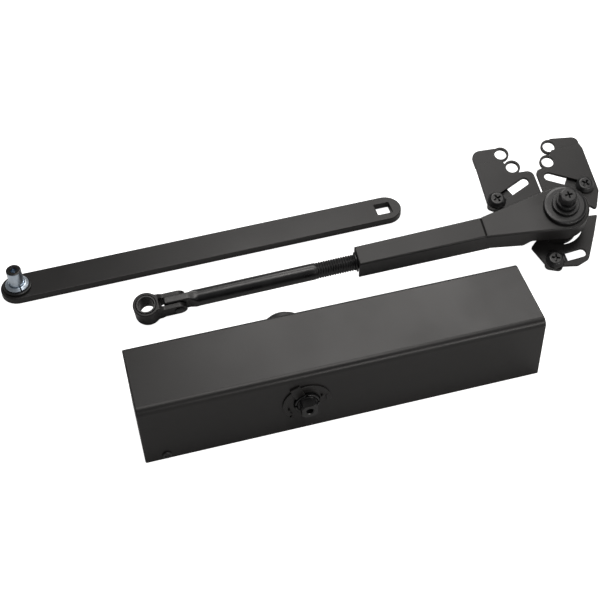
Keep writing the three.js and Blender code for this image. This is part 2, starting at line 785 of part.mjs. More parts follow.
{
  const half = eyeHeight / 2;
  const pieces = [bar(eyeRadius, -half, half, [0, 0], 28)];
  const cheekShape = new THREE.Shape();
  cheekShape.moveTo(eyeBushRadius - 3, -cheekHalfHeight).lineTo(rivetU, -cheekHalfHeight);
  cheekShape.absarc(rivetU, 0, cheekHalfHeight, -Math.PI / 2, Math.PI / 2);
  cheekShape.lineTo(eyeBushRadius - 3, cheekHalfHeight);
  pieces.push(facingFront(slab(cheekShape, cheekInner, cheekOuter)));
  pieces.push(facingFront(slab(cheekShape, -cheekOuter, -cheekInner)));
  const rivetBore = facingFront(bar(rivetRadius + gap, -cheekOuter - over, cheekOuter + over, [rivetU, 0], 16));
  const eye = cut(join(...pieces), bar(eyeBushRadius + gap, -half - over, half + over, [0, 0], 28), rivetBore);
  add(forearm, 'forearm_eye', eye, blackCoat);
  add(forearm, 'eye_bushing', ring(eyeBushRadius, eyeBushBore, -half, half), blackSteel);

  const headLow = cheekOuter + gap;
  const rivet = facingFront(join(
    bar(rivetRadius, -headLow - 0.5, headLow + 0.5, [rivetU, 0], 16),
    bar(rivetHead, headLow, headLow + rivetHeadHeight, [rivetU, 0], 24, rivetHead * 0.7),
    bar(rivetHead * 0.8, -headLow - 1, -headLow, [rivetU, 0], 24, rivetHead * 0.8),
  ));
  add(forearm, 'knuckle_rivet', rivet, blackSteel);

  // The tongue is a flat block about the rivet that runs into the round rod.
  const tongue = new THREE.Shape();
  const tip = rivetU - tongueReach;
  const neckU = rivetU + tongueNeck;
  const [pullOut, pullIn] = [neckU + 1, tongueBlend - 1];
  tongue.moveTo(neckU, tongueHalfHeight).lineTo(tip + tongueCorner, tongueHalfHeight);
  tongue.quadraticCurveTo(tip, tongueHalfHeight, tip, tongueHalfHeight - tongueCorner);
  tongue.lineTo(tip, tongueCorner - tongueHalfHeight);
  tongue.quadraticCurveTo(tip, -tongueHalfHeight, tip + tongueCorner, -tongueHalfHeight);
  tongue.lineTo(neckU, -tongueHalfHeight);
  tongue.bezierCurveTo(pullOut, -tongueHalfHeight, pullIn, -rodRadius, tongueBlend, -rodRadius);
  tongue.lineTo(tongueBlend, rodRadius);
  tongue.bezierCurveTo(pullIn, rodRadius, pullOut, tongueHalfHeight, neckU, tongueHalfHeight);
  const tonguePlate = facingFront(slab(tongue, -tongueHalf, tongueHalf, 16));
  const neck = alongX(bar(tongueHalf + 1, tongueBlend - 7, tongueBlend, [0, 0], 24, rodRadius));
  const rod = alongX(bar(rodRadius, tongueBlend - 0.5, rodEnd, [0, 0], 28));
  // The cheeks' round ends swing in a shallow clearing on each side of the tongue.
  const clearRadius = cheekHalfHeight + cheekEndSpace;
  const clearFrom = tongueHalf + 0.01;
  const clearings = [[clearFrom, cheekOuter + over], [-cheekOuter - over, -clearFrom]].map(
    ([low, high]) => facingFront(bar(clearRadius, low, high, [rivetU, 0], 16)),
  );
  add(forearm, 'threaded_rod', cut(join(tonguePlate, neck, rod), rivetBore, ...clearings), blackSteel);
}

// Outline of the tube seen along w, and of its side seen along v.
function tubePlan(inset, start) {
  const end = tubeEndRadius - inset;
  const shape = new THREE.Shape();
  const from = [taperU, taperHalfWidth - inset];
  const [, , angle] = tangent(from, [pivotU, 0], end, 1);
  shape.moveTo(start, inset - tubeHalfWidth).lineTo(creaseU, inset - tubeHalfWidthAtCrease);
  shape.lineTo(taperU, inset - taperHalfWidth);
  shape.absarc(pivotU, 0, end, -angle, angle);
  shape.lineTo(taperU, taperHalfWidth - inset).lineTo(creaseU, tubeHalfWidthAtCrease - inset);
  shape.lineTo(start, tubeHalfWidth - inset);
  return shape;
}

{
  const flatFrom = pivotU - tubeEndRadius + 1;
  const past = pivotU + tubeEndRadius + over;
  const side = new THREE.Shape();
  side.moveTo(mouthU, -tubeSkirt).lineTo(creaseU, -tubeSkirt).lineTo(taperU + 3, -taperSkirt);
  side.lineTo(notchU - 6, -taperSkirt);
  side.lineTo(notchU, -notchSkirt).lineTo(past, -notchSkirt).lineTo(past, taperTop);
  side.lineTo(flatFrom, taperTop).lineTo(taperU, tubeTop).lineTo(mouthU, tubeTop);
  const low = -tubeSkirt - over;
  const inside = new THREE.Shape();
  inside.moveTo(mouthU - over, low).lineTo(past, low).lineTo(past, taperTop - tubeWall);
  inside.lineTo(flatFrom, taperTop - tubeWall).lineTo(taperU, tubeTop - tubeWall);
  inside.lineTo(mouthU - over, tubeTop - tubeWall);
  const high = taperTop + over;
  const outer = common(
    slab(tubePlan(0, mouthU), low, high, 12),
    facingFront(slab(side, -tubeEndRadius - over, tubeEndRadius + over)),
  );
  const hollow = common(
    slab(tubePlan(tubeWall, mouthU - over), low, high, 12),
    facingFront(slab(inside, -tubeEndRadius - over, tubeEndRadius + over)),
  );
  const across = taperHalfWidth + over;
  const crease = box(creaseU - creaseHalf, creaseU + creaseHalf, -across, across, tubeTop - creaseDepth, high);
  const boltHole = bar(boltShank + gap, 0, high, [pivotU, 0], 24);
  add(forearm, 'forearm_tube', cut(outer, hollow, crease, boltHole), blackCoat);

  const rodBore = alongX(bar(rodRadius + gap, 0, rodEnd + 20, [0, 0], 28));
  const half = tubeHalfWidth - tubeWall - gap;
  const nutTo = tubeNutFrom + tubeNutLength;
  const nut = box(tubeNutFrom, nutTo, -half, half, tubeNutLow, tubeTop - tubeWall - gap);
  add(forearm, 'tube_nut', cut(nut, rodBore), steel);

  const washerTo = mouthU - gap;
  const washer = alongX(ring(endWasherRadius, rodRadius + gap, washerTo - endWasherThickness, washerTo, 32));
  add(forearm, 'tube_end_washer', washer, blackSteel);
}

// ---- Pivot stack and shoe ---------------------------------------------------------------

const pivot = new THREE.Group();
pivot.position.x = pivotU;
forearm.add(pivot);

{
  const bore = boltShank + gap;
  const washerLow = taperTop + gap;
  const collarLow = washerLow + pivotWasherThickness + gap;
  const lockLow = collarLow + collarThickness + gap;
  const headLow = lockLow + lockWasherThickness + gap;
  const headTop = headLow + hexHeight;
  const washer = ring(pivotWasherRadius, bore, washerLow, washerLow + pivotWasherThickness, 28);
  add(pivot, 'pivot_washer', washer, blackSteel);
  const collar = ring(collarRadius, bore, collarLow, collarLow + collarThickness);
  add(pivot, 'pivot_collar', collar, blackSteel);
  const lockWasher = ring(lockWasherRadius, bore, lockLow, lockLow + lockWasherThickness);
  add(pivot, 'lock_washer', lockWasher, blackSteel);
  const head = common(
    slab(flats(hexFlats, 6), headLow, headTop),
    bar(hexFlats * 0.62, headLow - 1, headTop + 0.1, [0, 0], 32, hexFlats * 0.5),
  );
  const bolt = cut(
    join(head, bar(boltShank, baseLow + gap, headLow + 1, [0, 0], 20)),
    crossRecess(6.4, 1.6, headTop, 2.6),
  );
  add(pivot, 'pivot_bolt', bolt, blackSteel);

  const bushTop = taperTop - tubeWall - gap;
  const bush = cut(
    bar(bushRadius, baseTop + gap, bushTop),
    bar(bore, baseLow, bushTop + over, [0, 0], 20),
  );
  add(pivot, 'pivot_bush', bush, blackSteel);
}

{
  // Three-armed base under the plates: a pad stands at each screw, square to its arm,
  // and a tab runs on from it under the slot.
  const pieces = [bar(shoeHubRadius, baseLow, baseTop, [0, 0], 28)];
  const holes = [bar(boltShank + gap, baseLow - over, baseTop + over, [0, 0], 20)];
  const half = shoePadWidth / 2;
  for (const [side, [u, v]] of Object.entries(screwPlaces)) {
    const reach = Math.hypot(u, v);
    const angle = Math.atan2(v, u);
    const limb = box(0, reach, -shoeArmWidth / 2, shoeArmWidth / 2, baseLow, baseTop);
    const plan = roundedRectangle(reach - shoePadInner, reach + shoePadOuter, -half, half, shoePadCorner);
    const [farU, farV] = slotEnds[side];
    const slotAngle = Math.atan2(farV - v, farU - u);
    const tab = box(0, shoeTabReach[side], -shoeTabHalf, shoeTabHalf, baseLow, baseTop);
    pieces.push(limb.rotateZ(angle), slab(plan, baseLow, baseTop, 3).rotateZ(angle));
    pieces.push(tab.rotateZ(slotAngle).translate(u, v, 0));
    holes.push(bar(screwShank + gap, baseLow - over, baseTop + over, [u, v], 14));
  }
  add(pivot, 'shoe_base', cut(join(...pieces), ...holes), blackCoat);
}

// Each plate's outline, from lines and round corners, about the pivot.
function roundedOutline(points) {
  const shape = new THREE.Shape();
  const count = points.length;
  points.forEach(([u, v, r = 0], i) => {
    const before = points[(i + count - 1) % count];
    const after = points[(i + 1) % count];
    const inAngle = Math.atan2(before[1] - v, before[0] - u);
    const outAngle = Math.atan2(after[1] - v, after[0] - u);
    const spread = Math.abs(Math.atan2(Math.sin(outAngle - inAngle), Math.cos(outAngle - inAngle)));
    const back = r / Math.tan(spread / 2);
    const start = [u + back * Math.cos(inAngle), v + back * Math.sin(inAngle)];
    const end = [u + back * Math.cos(outAngle), v + back * Math.sin(outAngle)];
    if (i === 0) shape.moveTo(...start);
    else shape.lineTo(...start);
    if (r > 0) shape.quadraticCurveTo(u, v, ...end);
  });
  return shape;
}

// One slotted plate: the main blade, its tip set down past the bend line, two lobes
// with a fixing hole each, the first of them on the tip, its slot, and its hollow
// around the pivot.
function slottedPlate({ blade, tip, lobes, slot, hollow }) {
  const top = shoeTop;
  const bottom = shoeTop - shoePlateThickness;
  const solids = [slab(roundedOutline(blade), bottom, top, 4)];
  if (tip) solids.push(slab(roundedOutline(tip), bottom - jogDepth, top - jogDepth, 4));
  const holes = [slab(stadium(...slot, slotHalf), bottom - over, top + over, 8)];
  lobes.forEach(([u, v], i) => {
    const drop = i === 0 ? jogDepth : 0;
    solids.push(bar(fixingLobe, bottom - drop, top - drop, [u, v], 20));
    holes.push(bar(fixingHole, bottom - over, top + over, [u, v], 16));
  });
  holes.push(bar(hollow, bottom - over, top + over, [0, 0], 28));
  return cut(join(...solids), ...holes);
}

const plates = {
  left: {
    blade: [[-52.7, 26, 4], [-22, 26, 1], [-4.6, 26, 2], [-5.3, 55.8, 6], [-16.8, 56.6, 2], [-25, 63, 0],
      [-27.3, 70.6, 0], [-27.3, 71.8, 0], [-51.6, 73.4, 0]],
    tip: [[-51.6, 71.2, 0], [-27.3, 69.8, 0], [-26.5, 85.3, 2], [-51.7, 87.3, 9]],
    lobes: [[-26.5, 78.7], [-21.3, 62.8]],
    hollow: hubClearance,
  },
  right: {
    blade: [[-2.8, 26, 2], [24, 18, 0], [29.6, 12, 1], [35.7, 5.4, 2], [43.6, 22.9, 3], [43.9, 66.5, 2],
      [42.6, 71.4, 0], [17, 71, 0], [10.2, 60.5, 0], [5.6, 55.9, 2], [-3, 54.9, 6]],
    tip: [[16.5, 69, 0], [42.8, 69, 0], [43.2, 79.5, 10], [18, 83.7, 3]],
    lobes: [[16.5, 75.8], [10.2, 60.5]],
    hollow: hubClearance,
  },
  lower: {
    blade: [[-29.5, -15.8, 2], [-20.1, -40.6, 5], [-10, -38.4, 2], [3.5, -41.2, 4], [14, -37.6, 5], [25.5, -17, 2],
      [34.5, 0.5, 1], [20, 2, 0], [-20, -8, 0]],
    lobes: [],
    hollow: lowerHubClearance,
  },
};

for (const [side, plan] of Object.entries(plates)) {
  const plate = slottedPlate({ ...plan, slot: [screwPlaces[side], slotEnds[side]] });
  add(pivot, `${side}_plate`, plate, blackCoat);

  const [u, v] = screwPlaces[side];
  const headLow = shoeTop + gap;
  const headTop = headLow + screwHeadHeight;
  const screw = cut(
    join(
      bar(screwHead, headLow, headTop, [0, 0], 28, screwHead * 0.72),
      bar(screwShank, baseLow + gap, headLow + 1, [0, 0], 14),
    ),
    crossRecess(7.2, 1.8, headTop, 2.2),
  );
  const mesh = add(pivot, `plate_screw_${side}`, screw, blackSteel);
  mesh.position.set(u, v, 0);
}

export default root;
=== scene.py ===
"""Looks of a surface-mounted door closer and its two arms, built around its packed model.

Everything is in the packed model's own frame, in metres: +Z up, the door face at Z = 0,
the closer's cylinder along X and its spindle along Y.
"""

import json
import math
from types import SimpleNamespace

import bmesh
import bpy
from bpy.props import FloatProperty, FloatVectorProperty, PointerProperty
from mathutils import Matrix, Vector


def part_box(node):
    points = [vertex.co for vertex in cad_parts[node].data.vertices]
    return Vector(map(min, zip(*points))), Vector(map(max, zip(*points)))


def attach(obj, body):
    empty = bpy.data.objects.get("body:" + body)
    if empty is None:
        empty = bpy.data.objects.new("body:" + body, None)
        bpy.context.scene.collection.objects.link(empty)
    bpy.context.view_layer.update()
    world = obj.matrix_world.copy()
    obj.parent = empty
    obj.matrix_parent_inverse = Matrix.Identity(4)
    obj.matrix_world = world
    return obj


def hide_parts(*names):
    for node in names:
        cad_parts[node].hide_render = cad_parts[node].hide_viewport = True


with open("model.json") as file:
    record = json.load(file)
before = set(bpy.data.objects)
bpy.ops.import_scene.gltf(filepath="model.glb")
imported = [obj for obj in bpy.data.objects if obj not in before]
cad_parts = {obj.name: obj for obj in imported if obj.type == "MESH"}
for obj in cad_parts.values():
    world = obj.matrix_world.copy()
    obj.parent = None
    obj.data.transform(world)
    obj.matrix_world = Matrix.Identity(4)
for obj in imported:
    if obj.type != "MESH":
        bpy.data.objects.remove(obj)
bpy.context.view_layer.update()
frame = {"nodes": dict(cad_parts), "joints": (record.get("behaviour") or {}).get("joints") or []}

bl_info = {
    "name": "Door Closer",
    "version": (1, 0, 0),
    "blender": (4, 5, 0),
    "location": "View3D > Sidebar > Closer",
    "description": "Builds a door closer with its main arm, forearm and slotted shoe",
    "category": "Add Mesh",
}

MM = 0.001
FULL_TURN = 2 * math.pi
FINE = 72       # sides of a large round piece
COARSE = 40     # sides of a small round piece
TINY = 24       # sides of a peg or a small screw hole
REACH = 60      # mm, far enough to run past any piece that a tool cuts
OVER = 1.0      # mm, how far a tool stands past a face that it opens
GAP = 0.3       # mm, between pieces that fit together
SPARE = 5       # mm, of length that is cut away again
QUARTER_TURN = math.pi / 2
SHARP = math.radians(32)    # edges that bend more than this stay sharp


# ---- Sizes and colours that a user may change ----


def length(description, millimetres):
    """A size property, shown in scene units."""
    default = millimetres * MM
    return FloatProperty(description=description, default=default, precision=5, unit="LENGTH")


def colour(description, value):
    """A colour property."""
    return FloatVectorProperty(
        description=description, default=value, size=3, min=0, max=1, subtype="COLOR"
    )


def labelled(group):
    """Gives a group's properties labels made from their own names."""
    for name, prop in group.__annotations__.items():
        prop.keywords["name"] = name.replace("_", " ").capitalize()
    return group


@labelled
class CoverSizes(bpy.types.PropertyGroup):
    """Sizes of the cover, its guard ring and its two screws."""

    wall: length("Thickness of the cover", 1.6)
    near_radius: length("Rounding of the long edge over the front face", 6)
    far_radius: length("Rounding of the long edge over the rear face", 3.5)
    end_radius: length("Rounding of the edges round the two ends", 1)
    spindle_hole: length("Radius of the holes that the spindle comes out of", 10.3)
    guard_inner: length("Inner radius of the part ring round the spindle", 15)
    guard_outer: length("Outer radius of the part ring round the spindle", 18.5)
    guard_height: length("How far the part ring stands out", 1.2)
    block_height: length("How far the block across the ring stands out", 1.6)
    peg_radius: length("Radius of the small pegs beside the ring", 1)
    screw_head: length("Radius of the heads of the cover screws", 3.6)
    screw_head_height: length("Height of the heads of the cover screws", 1.2)
    screw_shank: length("Radius of the cover screws below their heads", 2)
    screw_reach: length("Length of the cover screws below their heads", 6.3)


@labelled
class SpindleSizes(bpy.types.PropertyGroup):
    """Sizes of the spindle, its packing nuts and the cap on its rear end."""

    flats: length("Width of the square ends", 12)
    journal: length("Radius of the round part of the spindle", 7.6)
    journal_end: length("Where the square begins, from the middle", 34.3)
    end: length("Where the spindle ends, from the middle", 41.5)
    hole: length("Radius of the tapped hole in the front end", 2.7)
    hole_depth: length("Depth of the tapped hole in the front end", 12)
    gear_root: length("Radius at the bottom of the pinion's teeth", 7.2)
    gear_pitch: length("Radius where the pinion meets its rack", 9)
    gear_tip: length("Radius over the pinion's teeth", 10.6)
    gear_half: length("Half of the pinion's width", 11)
    nut_from: length("Inner end of a packing nut, from the middle", 26.2)
    nut_shoulder: length("Where a packing nut steps down, from the middle", 29.5)
    nut_end: length("Outer end of a packing nut, from the middle", 34)
    nut_body: length("Radius of a packing nut's threaded body", 10.7)
    nut_nose: length("Radius of the part that shows", 9.5)
    nut_bore: length("Radius of the hole through a packing nut", 8)
    notch_width: length("Width of the spanner notches", 2.4)
    notch_depth: length("Depth of the spanner notches", 1.4)
    cap_base: length("Radius of the cap's rim", 20.5)
    cap_rim: length("Height of the cap's rim", 3)
    cap_shoulder: length("Radius just above the rim", 19)
    cap_taper: length("Radius where the cap turns in", 18)
    cap_taper_height: length("Height where the cap turns in", 12)
    cap_top: length("Radius of the flat top", 12.5)
    cap_height: length("Height of the whole cap", 17.5)
    cap_socket: length("Radius of the hole that holds the nut", 9.9)
    cap_socket_depth: length("Depth of the hole that holds the nut", 11.2)


@labelled
class ArmSizes(bpy.types.PropertyGroup):
    """Sizes of the main arm, its stud, flange and washer."""

    reach: length("Distance between the centres of the two round ends", 322.4)
    width: length("Width of the flat bar", 28.6)
    thickness: length("Thickness of the flat bar", 6.5)
    edge: length("Rounding of the bar's edges", 0.9)
    square: length("Width of the square hole", 12.9)
    square_at: length("From the stud to the middle of the square hole", 320.8)
    shank: length("Radius of the stud inside the bar", 5)
    stud: length("Radius of the stud above the bar", 6.25)
    stud_top: length("Height of the stud's end", 26.6)
    stud_hole: length("Radius of the tapped hole in the stud", 2.7)
    stud_hole_depth: length("Depth of the tapped hole in the stud", 12)
    washer: length("Radius of the dark washer on the bar", 11.75)
    washer_low: length("Height of the washer's underside", 6.8)
    washer_high: length("Height of the washer's top", 8.8)
    flange: length("Radius of the bright flange", 9.8)
    flange_crown: length("Radius at the top of the bright flange", 7.6)
    flange_low: length("Height of the flange's underside", 9.1)
    flange_high: length("Height of the flange's top", 11.5)
    ring_bore: length("Radius of the hole in the washer and flange", 6.55)
    groove: length("Width of the groove down the stud", 1.3)


@labelled
class ForearmSizes(bpy.types.PropertyGroup):
    """Sizes of the eye, its rivet, the rod and the tube."""

    eye: length("Outer radius of the eye", 10.8)
    eye_height: length("Height of the eye", 17.5)
    bushing: length("Outer radius of the bushing", 8)
    bushing_bore: length("Inner radius of the bushing", 6.5)
    cheek_inner: length("From the middle to the inside of a cheek", 3.8)
    cheek_outer: length("From the middle to the outside of a cheek", 7.3)
    cheek_half: length("Half of a cheek's height, and its end radius", 6.6)
    rivet_at: length("From the eye's middle to the rivet", 25.7)
    rivet: length("Radius of the rivet's shank", 2.8)
    rivet_head: length("Radius of the rivet's head", 3.9)
    tongue: length("From the rivet to the tongue's tip", 11.5)
    tongue_tall: length("Half of the tongue's height", 8.6)
    tongue_neck: length("From the rivet to where the tongue narrows", 7)
    tongue_half: length("Half of the tongue's thickness", 3.4)
    rod: length("Radius of the rod, over its thread", 6.95)
    rod_round_from: length("From the eye's middle to where the rod is round", 43)
    thread_from: length("From the eye's middle to the thread", 139)
    thread_pitch: length("Distance between the thread's crests", 2.1)
    rod_end: length("From the eye's middle to the end of the rod", 240)
    mouth: length("From the eye's middle to the open end of the tube", 176)
    mouth_half: length("Half of the tube's width at its mouth", 8.8)
    crease: length("From the eye's middle to the pressed crease", 283.8)
    crease_half: length("Half of the tube's width at the crease", 9.55)
    taper: length("From the eye's middle to where the tube widens", 286)
    taper_half: length("Half of the tube's width where it widens", 10)
    pivot: length("From the eye's middle to the pivot", 353)
    end_radius: length("Radius of the tube's round end", 20.8)
    top: length("Height of the tube's top at its mouth", 11.2)
    top_at_pivot: length("Height of the tube's top at the pivot", 14.5)
    skirt: length("How far the sides hang below the middle", 11.2)
    taper_skirt: length("How far the sides hang past the crease", 9)
    notch_skirt: length("How far the sides hang at the pivot", 2)
    wall: length("Thickness of the tube", 1.5)
    end_washer: length("Radius of the washer at the tube's mouth", 8.3)


@labelled
class PivotSizes(bpy.types.PropertyGroup):
    """Sizes of the bolt, washers and collar on the pivot, with heights from its middle."""

    shank: length("Radius of the pivot bolt", 5.5)
    bore: length("Radius of the holes that the bolt goes through", 5.8)
    bolt_end: length("Height of the bolt's lower end", -21)
    washer: length("Radius of the large washer", 17.6)
    washer_low: length("Height of the large washer's underside", 14.8)
    washer_high: length("Height of the large washer's top", 18.8)
    collar: length("Radius of the collar", 11.3)
    collar_low: length("Height of the collar's underside", 19.1)
    collar_high: length("Height of the collar's top", 22)
    spring: length("Radius of the double lock washer", 8.5)
    spring_low: length("Height of the lock washer's underside", 22.3)
    spring_high: length("Height of the lock washer's top", 27.5)
    head_flats: length("Width of the bolt's head", 12.7)
    head_low: length("Height of the head's underside", 27.8)
    head_high: length("Height of the head's top", 35)


@labelled
class ShoeSizes(bpy.types.PropertyGroup):
    """Sizes of the slotted plates and their screws, with heights from the pivot's middle."""

    plate_low: length("Height of the plates' undersides", -17)
    plate_high: length("Height of the plates' tops", -14)
    jog: length("How far the plates' tips are set down", 1.5)
    edge: length("Rounding of the plates' edges", 0.4)
    slot: length("Half of the slots' width", 3.9)
    hole: length("Radius of the fixing holes", 5.25)
    lobe: length("Radius of the lobes round the fixing holes", 7.1)
    screw_shank: length("Radius of the plate screws", 3.4)
    screw_head: length("Radius of the plate screws' heads", 7.8)
    screw_low: length("Height of the screws' lower ends", -21)
    head_low: length("Height of the heads' undersides", -13.7)
    head_high: length("Height of the heads' tops", -9.5)


@labelled
class FinishColours(bpy.types.PropertyGroup):
    """Colours of the finishes, and of the floor."""

    coat: colour("Satin black coating", (0.0065, 0.006, 0.006))
    coat_pale: colour("Paler patches of the coating", (0.011, 0.0104, 0.0102))
    blacking: colour("Black oxide on steel", (0.005, 0.005, 0.0052))
    blacking_pale: colour("Paler patches of the oxide", (0.011, 0.011, 0.0115))
    zinc: colour("Bright zinc plate", (0.62, 0.69, 0.76))
    zinc_dark: colour("Duller patches of the zinc plate", (0.4, 0.47, 0.55))
    soot: colour("Dark film on the stud's end", (0.05, 0.048, 0.048))
    iron: colour("Cast and machined iron", (0.09, 0.09, 0.095))
    steel: colour("Bare turned steel", (0.45, 0.45, 0.46))
    spring: colour("Oil-tempered wire", (0.08, 0.085, 0.1))
    brass: colour("Turned brass", (0.6, 0.42, 0.16))
    rubber: colour("Seals", (0.01, 0.01, 0.01))
    plastic: colour("Moulded cap", (0.012, 0.012, 0.012))
    floor: colour("Plain pale floor", (0.6, 0.6, 0.6))


def in_mm(sizes):
    """A size group's values as millimetres."""
    return SimpleNamespace(**{name: getattr(sizes, name) / MM for name in sizes.__annotations__})


# ---- Frames ----


def joint(name):
    """A joint of the packed model."""
    return next(j for j in frame["joints"] if j["name"] == name)


def middle_of(node):
    """The middle of a node's box, in metres."""
    low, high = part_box(node)
    return (low + high) / 2


def placing(x, y, z, origin=(0, 0, 0)):
    """The matrix that takes millimetres along three axes to the model's frame."""
    turn = Matrix((x, y, z)).transposed().to_4x4()
    return Matrix.Translation(Vector(origin)) @ turn @ Matrix.Scale(MM, 4)


X_AXIS = Vector((1, 0, 0))
Y_AXIS = Vector((0, 1, 0))
Z_AXIS = Vector((0, 0, 1))

UPRIGHT = placing(X_AXIS, Y_AXIS, Z_AXIS)
SPINDLE = placing(X_AXIS, -Z_AXIS, Y_AXIS, joint("spindle_turn")["pos_m"])

ALONG = Vector(joint("rod_length")["axis"]).normalized()
ACROSS = Vector(joint("eye_tilt")["axis"]).normalized()
UP = Vector(joint("shoe_swing")["axis"]).normalized()

# A flat outline stood on edge: its own X and Y become the two axes that are named, and
# its thickness runs along the third.
CYLINDER_WISE = Matrix(((0, 0, 1, 0), (1, 0, 0, 0), (0, 1, 0, 0), (0, 0, 0, 1)))
FACING_FRONT = Matrix(((1, 0, 0, 0), (0, 0, -1, 0), (0, 1, 0, 0), (0, 0, 0, 1)))


def forearm_frame(sizes):
    """The forearm's frame: X along the rod from the eye, Y across it, Z up."""
    rivet = Vector(joint("eye_tilt")["pos_m"])
    return placing(ALONG, ACROSS, UP, rivet - ALONG * sizes.rivet_at * MM)


def pivot_frame():
    """The same frame moved to the middle of the pivot."""
    sizes = in_mm(bpy.context.scene.closer_forearm)
    return forearm_frame(sizes) @ Matrix.Translation((sizes.pivot, 0, 0))


def arm_frame(sizes):
    """The main arm's frame: X along the bar from the stud, Z up from its underside."""
    middle = middle_of("arm_stud")
    bar_low, bar_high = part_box("main_arm_bar")
    turn = math.asin(((bar_high.y - bar_low.y) / MM - sizes.width) / sizes.reach)
    along = Vector((math.cos(turn), math.sin(turn), 0))
    across = Vector((-math.sin(turn), math.cos(turn), 0))
    return placing(along, across, Z_AXIS, (middle.x, middle.y, bar_low.z))


# ---- Outlines, in millimetres ----


def polar(radius, angle):
    return radius * math.cos(angle), radius * math.sin(angle)


def arc(centre, radius, start, end, steps):
    """Points on an arc, with its angles in radians."""
    angles = [start + (end - start) * i / steps for i in range(steps + 1)]
    return [(centre[0] + radius * math.cos(a), centre[1] + radius * math.sin(a)) for a in angles]


def circle(radius, centre=(0, 0)):
    return arc(centre, radius, 0, FULL_TURN * (COARSE - 1) / COARSE, COARSE - 1)


def stadium(first, second, radius, steps=20):
    """A round-ended outline between two centres."""
    angle = math.atan2(second[1] - first[1], second[0] - first[0])
    left, right = angle + QUARTER_TURN, angle - QUARTER_TURN
    outline = arc(second, radius, right, left, steps)
    return outline + arc(first, radius, left, angle + 3 * QUARTER_TURN, steps)


def rounded(corners, steps=6, closed=True):
    """An outline from (x, y) or (x, y, fillet radius) corners."""
    outline = []
    last = len(corners) - 1
    for i, corner in enumerate(corners):
        here = Vector(corner[:2])
        radius = corner[2] if len(corner) > 2 else 0
        if radius <= 0 or (not closed and i in (0, last)):
            outline.append(tuple(here))
            continue
        before = Vector(corners[i - 1][:2]) - here
        after = Vector(corners[(i + 1) % len(corners)][:2]) - here
        half = before.angle(after) / 2
        back = min(radius / math.tan(half), before.length / 2, after.length / 2)
        radius = back * math.tan(half)
        middle = (before.normalized() + after.normalized()).normalized()
        centre = here + middle * radius / math.sin(half)
        start = here + before.normalized() * back - centre
        end = here + after.normalized() * back - centre
        first = math.atan2(start.y, start.x)
        turn = math.atan2(end.y, end.x) - first
        turn = (turn + math.pi) % FULL_TURN - math.pi
        outline += arc(centre, radius, first, first + turn, steps)
    return outline


def rectangle(x0, x1, y0, y1, radius=0):
    return rounded([(x0, y0, radius), (x1, y0, radius), (x1, y1, radius), (x0, y1, radius)])


def prism(width, sides):
    """A regular outline by its width across the flats."""
    radius = width / 2 / math.cos(math.pi / sides)
    first = math.pi / sides
    return arc((0, 0), radius, first, first + FULL_TURN * (sides - 1) / sides, sides - 1)


# ---- Meshes ----


def new_object(name, mesh):
    obj = bpy.data.objects.new(name, mesh)
    bpy.context.scene.collection.objects.link(obj)
    return obj


def mesh_of(obj):
    """The mesh of an object with its modifiers applied."""
    bpy.context.view_layer.update()
    shown = obj.evaluated_get(bpy.context.evaluated_depsgraph_get())
    return bpy.data.meshes.new_from_object(shown)


def object_from(made):
    """A new object from a bmesh, with its faces turned outwards."""
    bmesh.ops.recalc_face_normals(made, faces=made.faces)
    mesh = bpy.data.meshes.new("piece")
    made.to_mesh(mesh)
    made.free()
    return new_object("piece", mesh)


def tidy(mesh, merge=0.002):
    """Merges doubled points and turns every face outwards."""
    made = bmesh.new()
    made.from_mesh(mesh)
    bmesh.ops.remove_doubles(made, verts=made.verts, dist=merge)
    bmesh.ops.dissolve_degenerate(made, edges=made.edges, dist=merge)
    bmesh.ops.recalc_face_normals(made, faces=made.faces)
    made.to_mesh(mesh)
    made.free()


def slab(outline, low, high, edge=0.0, holes=(), steps=3):
    """A plate between two heights, with rounded edges and holes through it."""
    curve = bpy.data.curves.new("outline", "CURVE")
    curve.dimensions = "2D"
    curve.fill_mode = "BOTH"
    curve.extrude = (high - low) / 2 - edge
    curve.bevel_depth = edge
    curve.bevel_resolution = steps
    curve.offset = -edge
    for points in (outline, *holes):
        spline = curve.splines.new("POLY")
        spline.points.add(len(points) - 1)
        for point, (x, y) in zip(spline.points, points):
            point.co = (x, y, 0, 1)
        spline.use_cyclic_u = True
    drawn = new_object("outline", curve)
    mesh = mesh_of(drawn)
    bpy.data.objects.remove(drawn)
    bpy.data.curves.remove(curve)
    mesh.transform(Matrix.Translation((0, 0, (low + high) / 2)))
    tidy(mesh)
    return new_object("piece", mesh)


def lathe(profile, sides=FINE):
    """A body turned about Z. A profile that starts off the axis is a ring's whole section."""
    made = bmesh.new()
    rings = []
    for radius, height in profile:
        count = 1 if radius < 1e-6 else sides
        rings.append([
            made.verts.new((*polar(radius, FULL_TURN * i / count), height)) for i in range(count)
        ])
    pairs = list(zip(rings, rings[1:]))
    if len(rings[0]) > 1:
        pairs.append((rings[-1], rings[0]))
    for lower, upper in pairs:
        for i in range(sides):
            around = [(lower, i), (lower, i + 1), (upper, i + 1), (upper, i)]
            corners = list(dict.fromkeys(ring[at % len(ring)] for ring, at in around))
            if len(corners) > 2:
                made.faces.new(corners)
    return object_from(made)


def spun(profile, sides=FINE, steps=6):
    """A solid turned from a profile that starts and ends on the axis."""
    return lathe(rounded(profile, steps, closed=False), sides)


def loft(sections):
    """A closed skin over sections that have the same number of points."""
    made = bmesh.new()
    rings = [[made.verts.new(point) for point in section] for section in sections]
    count = len(rings[0])
    for lower, upper in zip(rings, rings[1:]):
        for i in range(count):
            j = (i + 1) % count
            made.faces.new((lower[i], lower[j], upper[j], upper[i]))
    made.faces.new(rings[0])
    made.faces.new(rings[-1])
    return object_from(made)


def about_z(angle):
    return Matrix.Rotation(angle, 4, "Z")


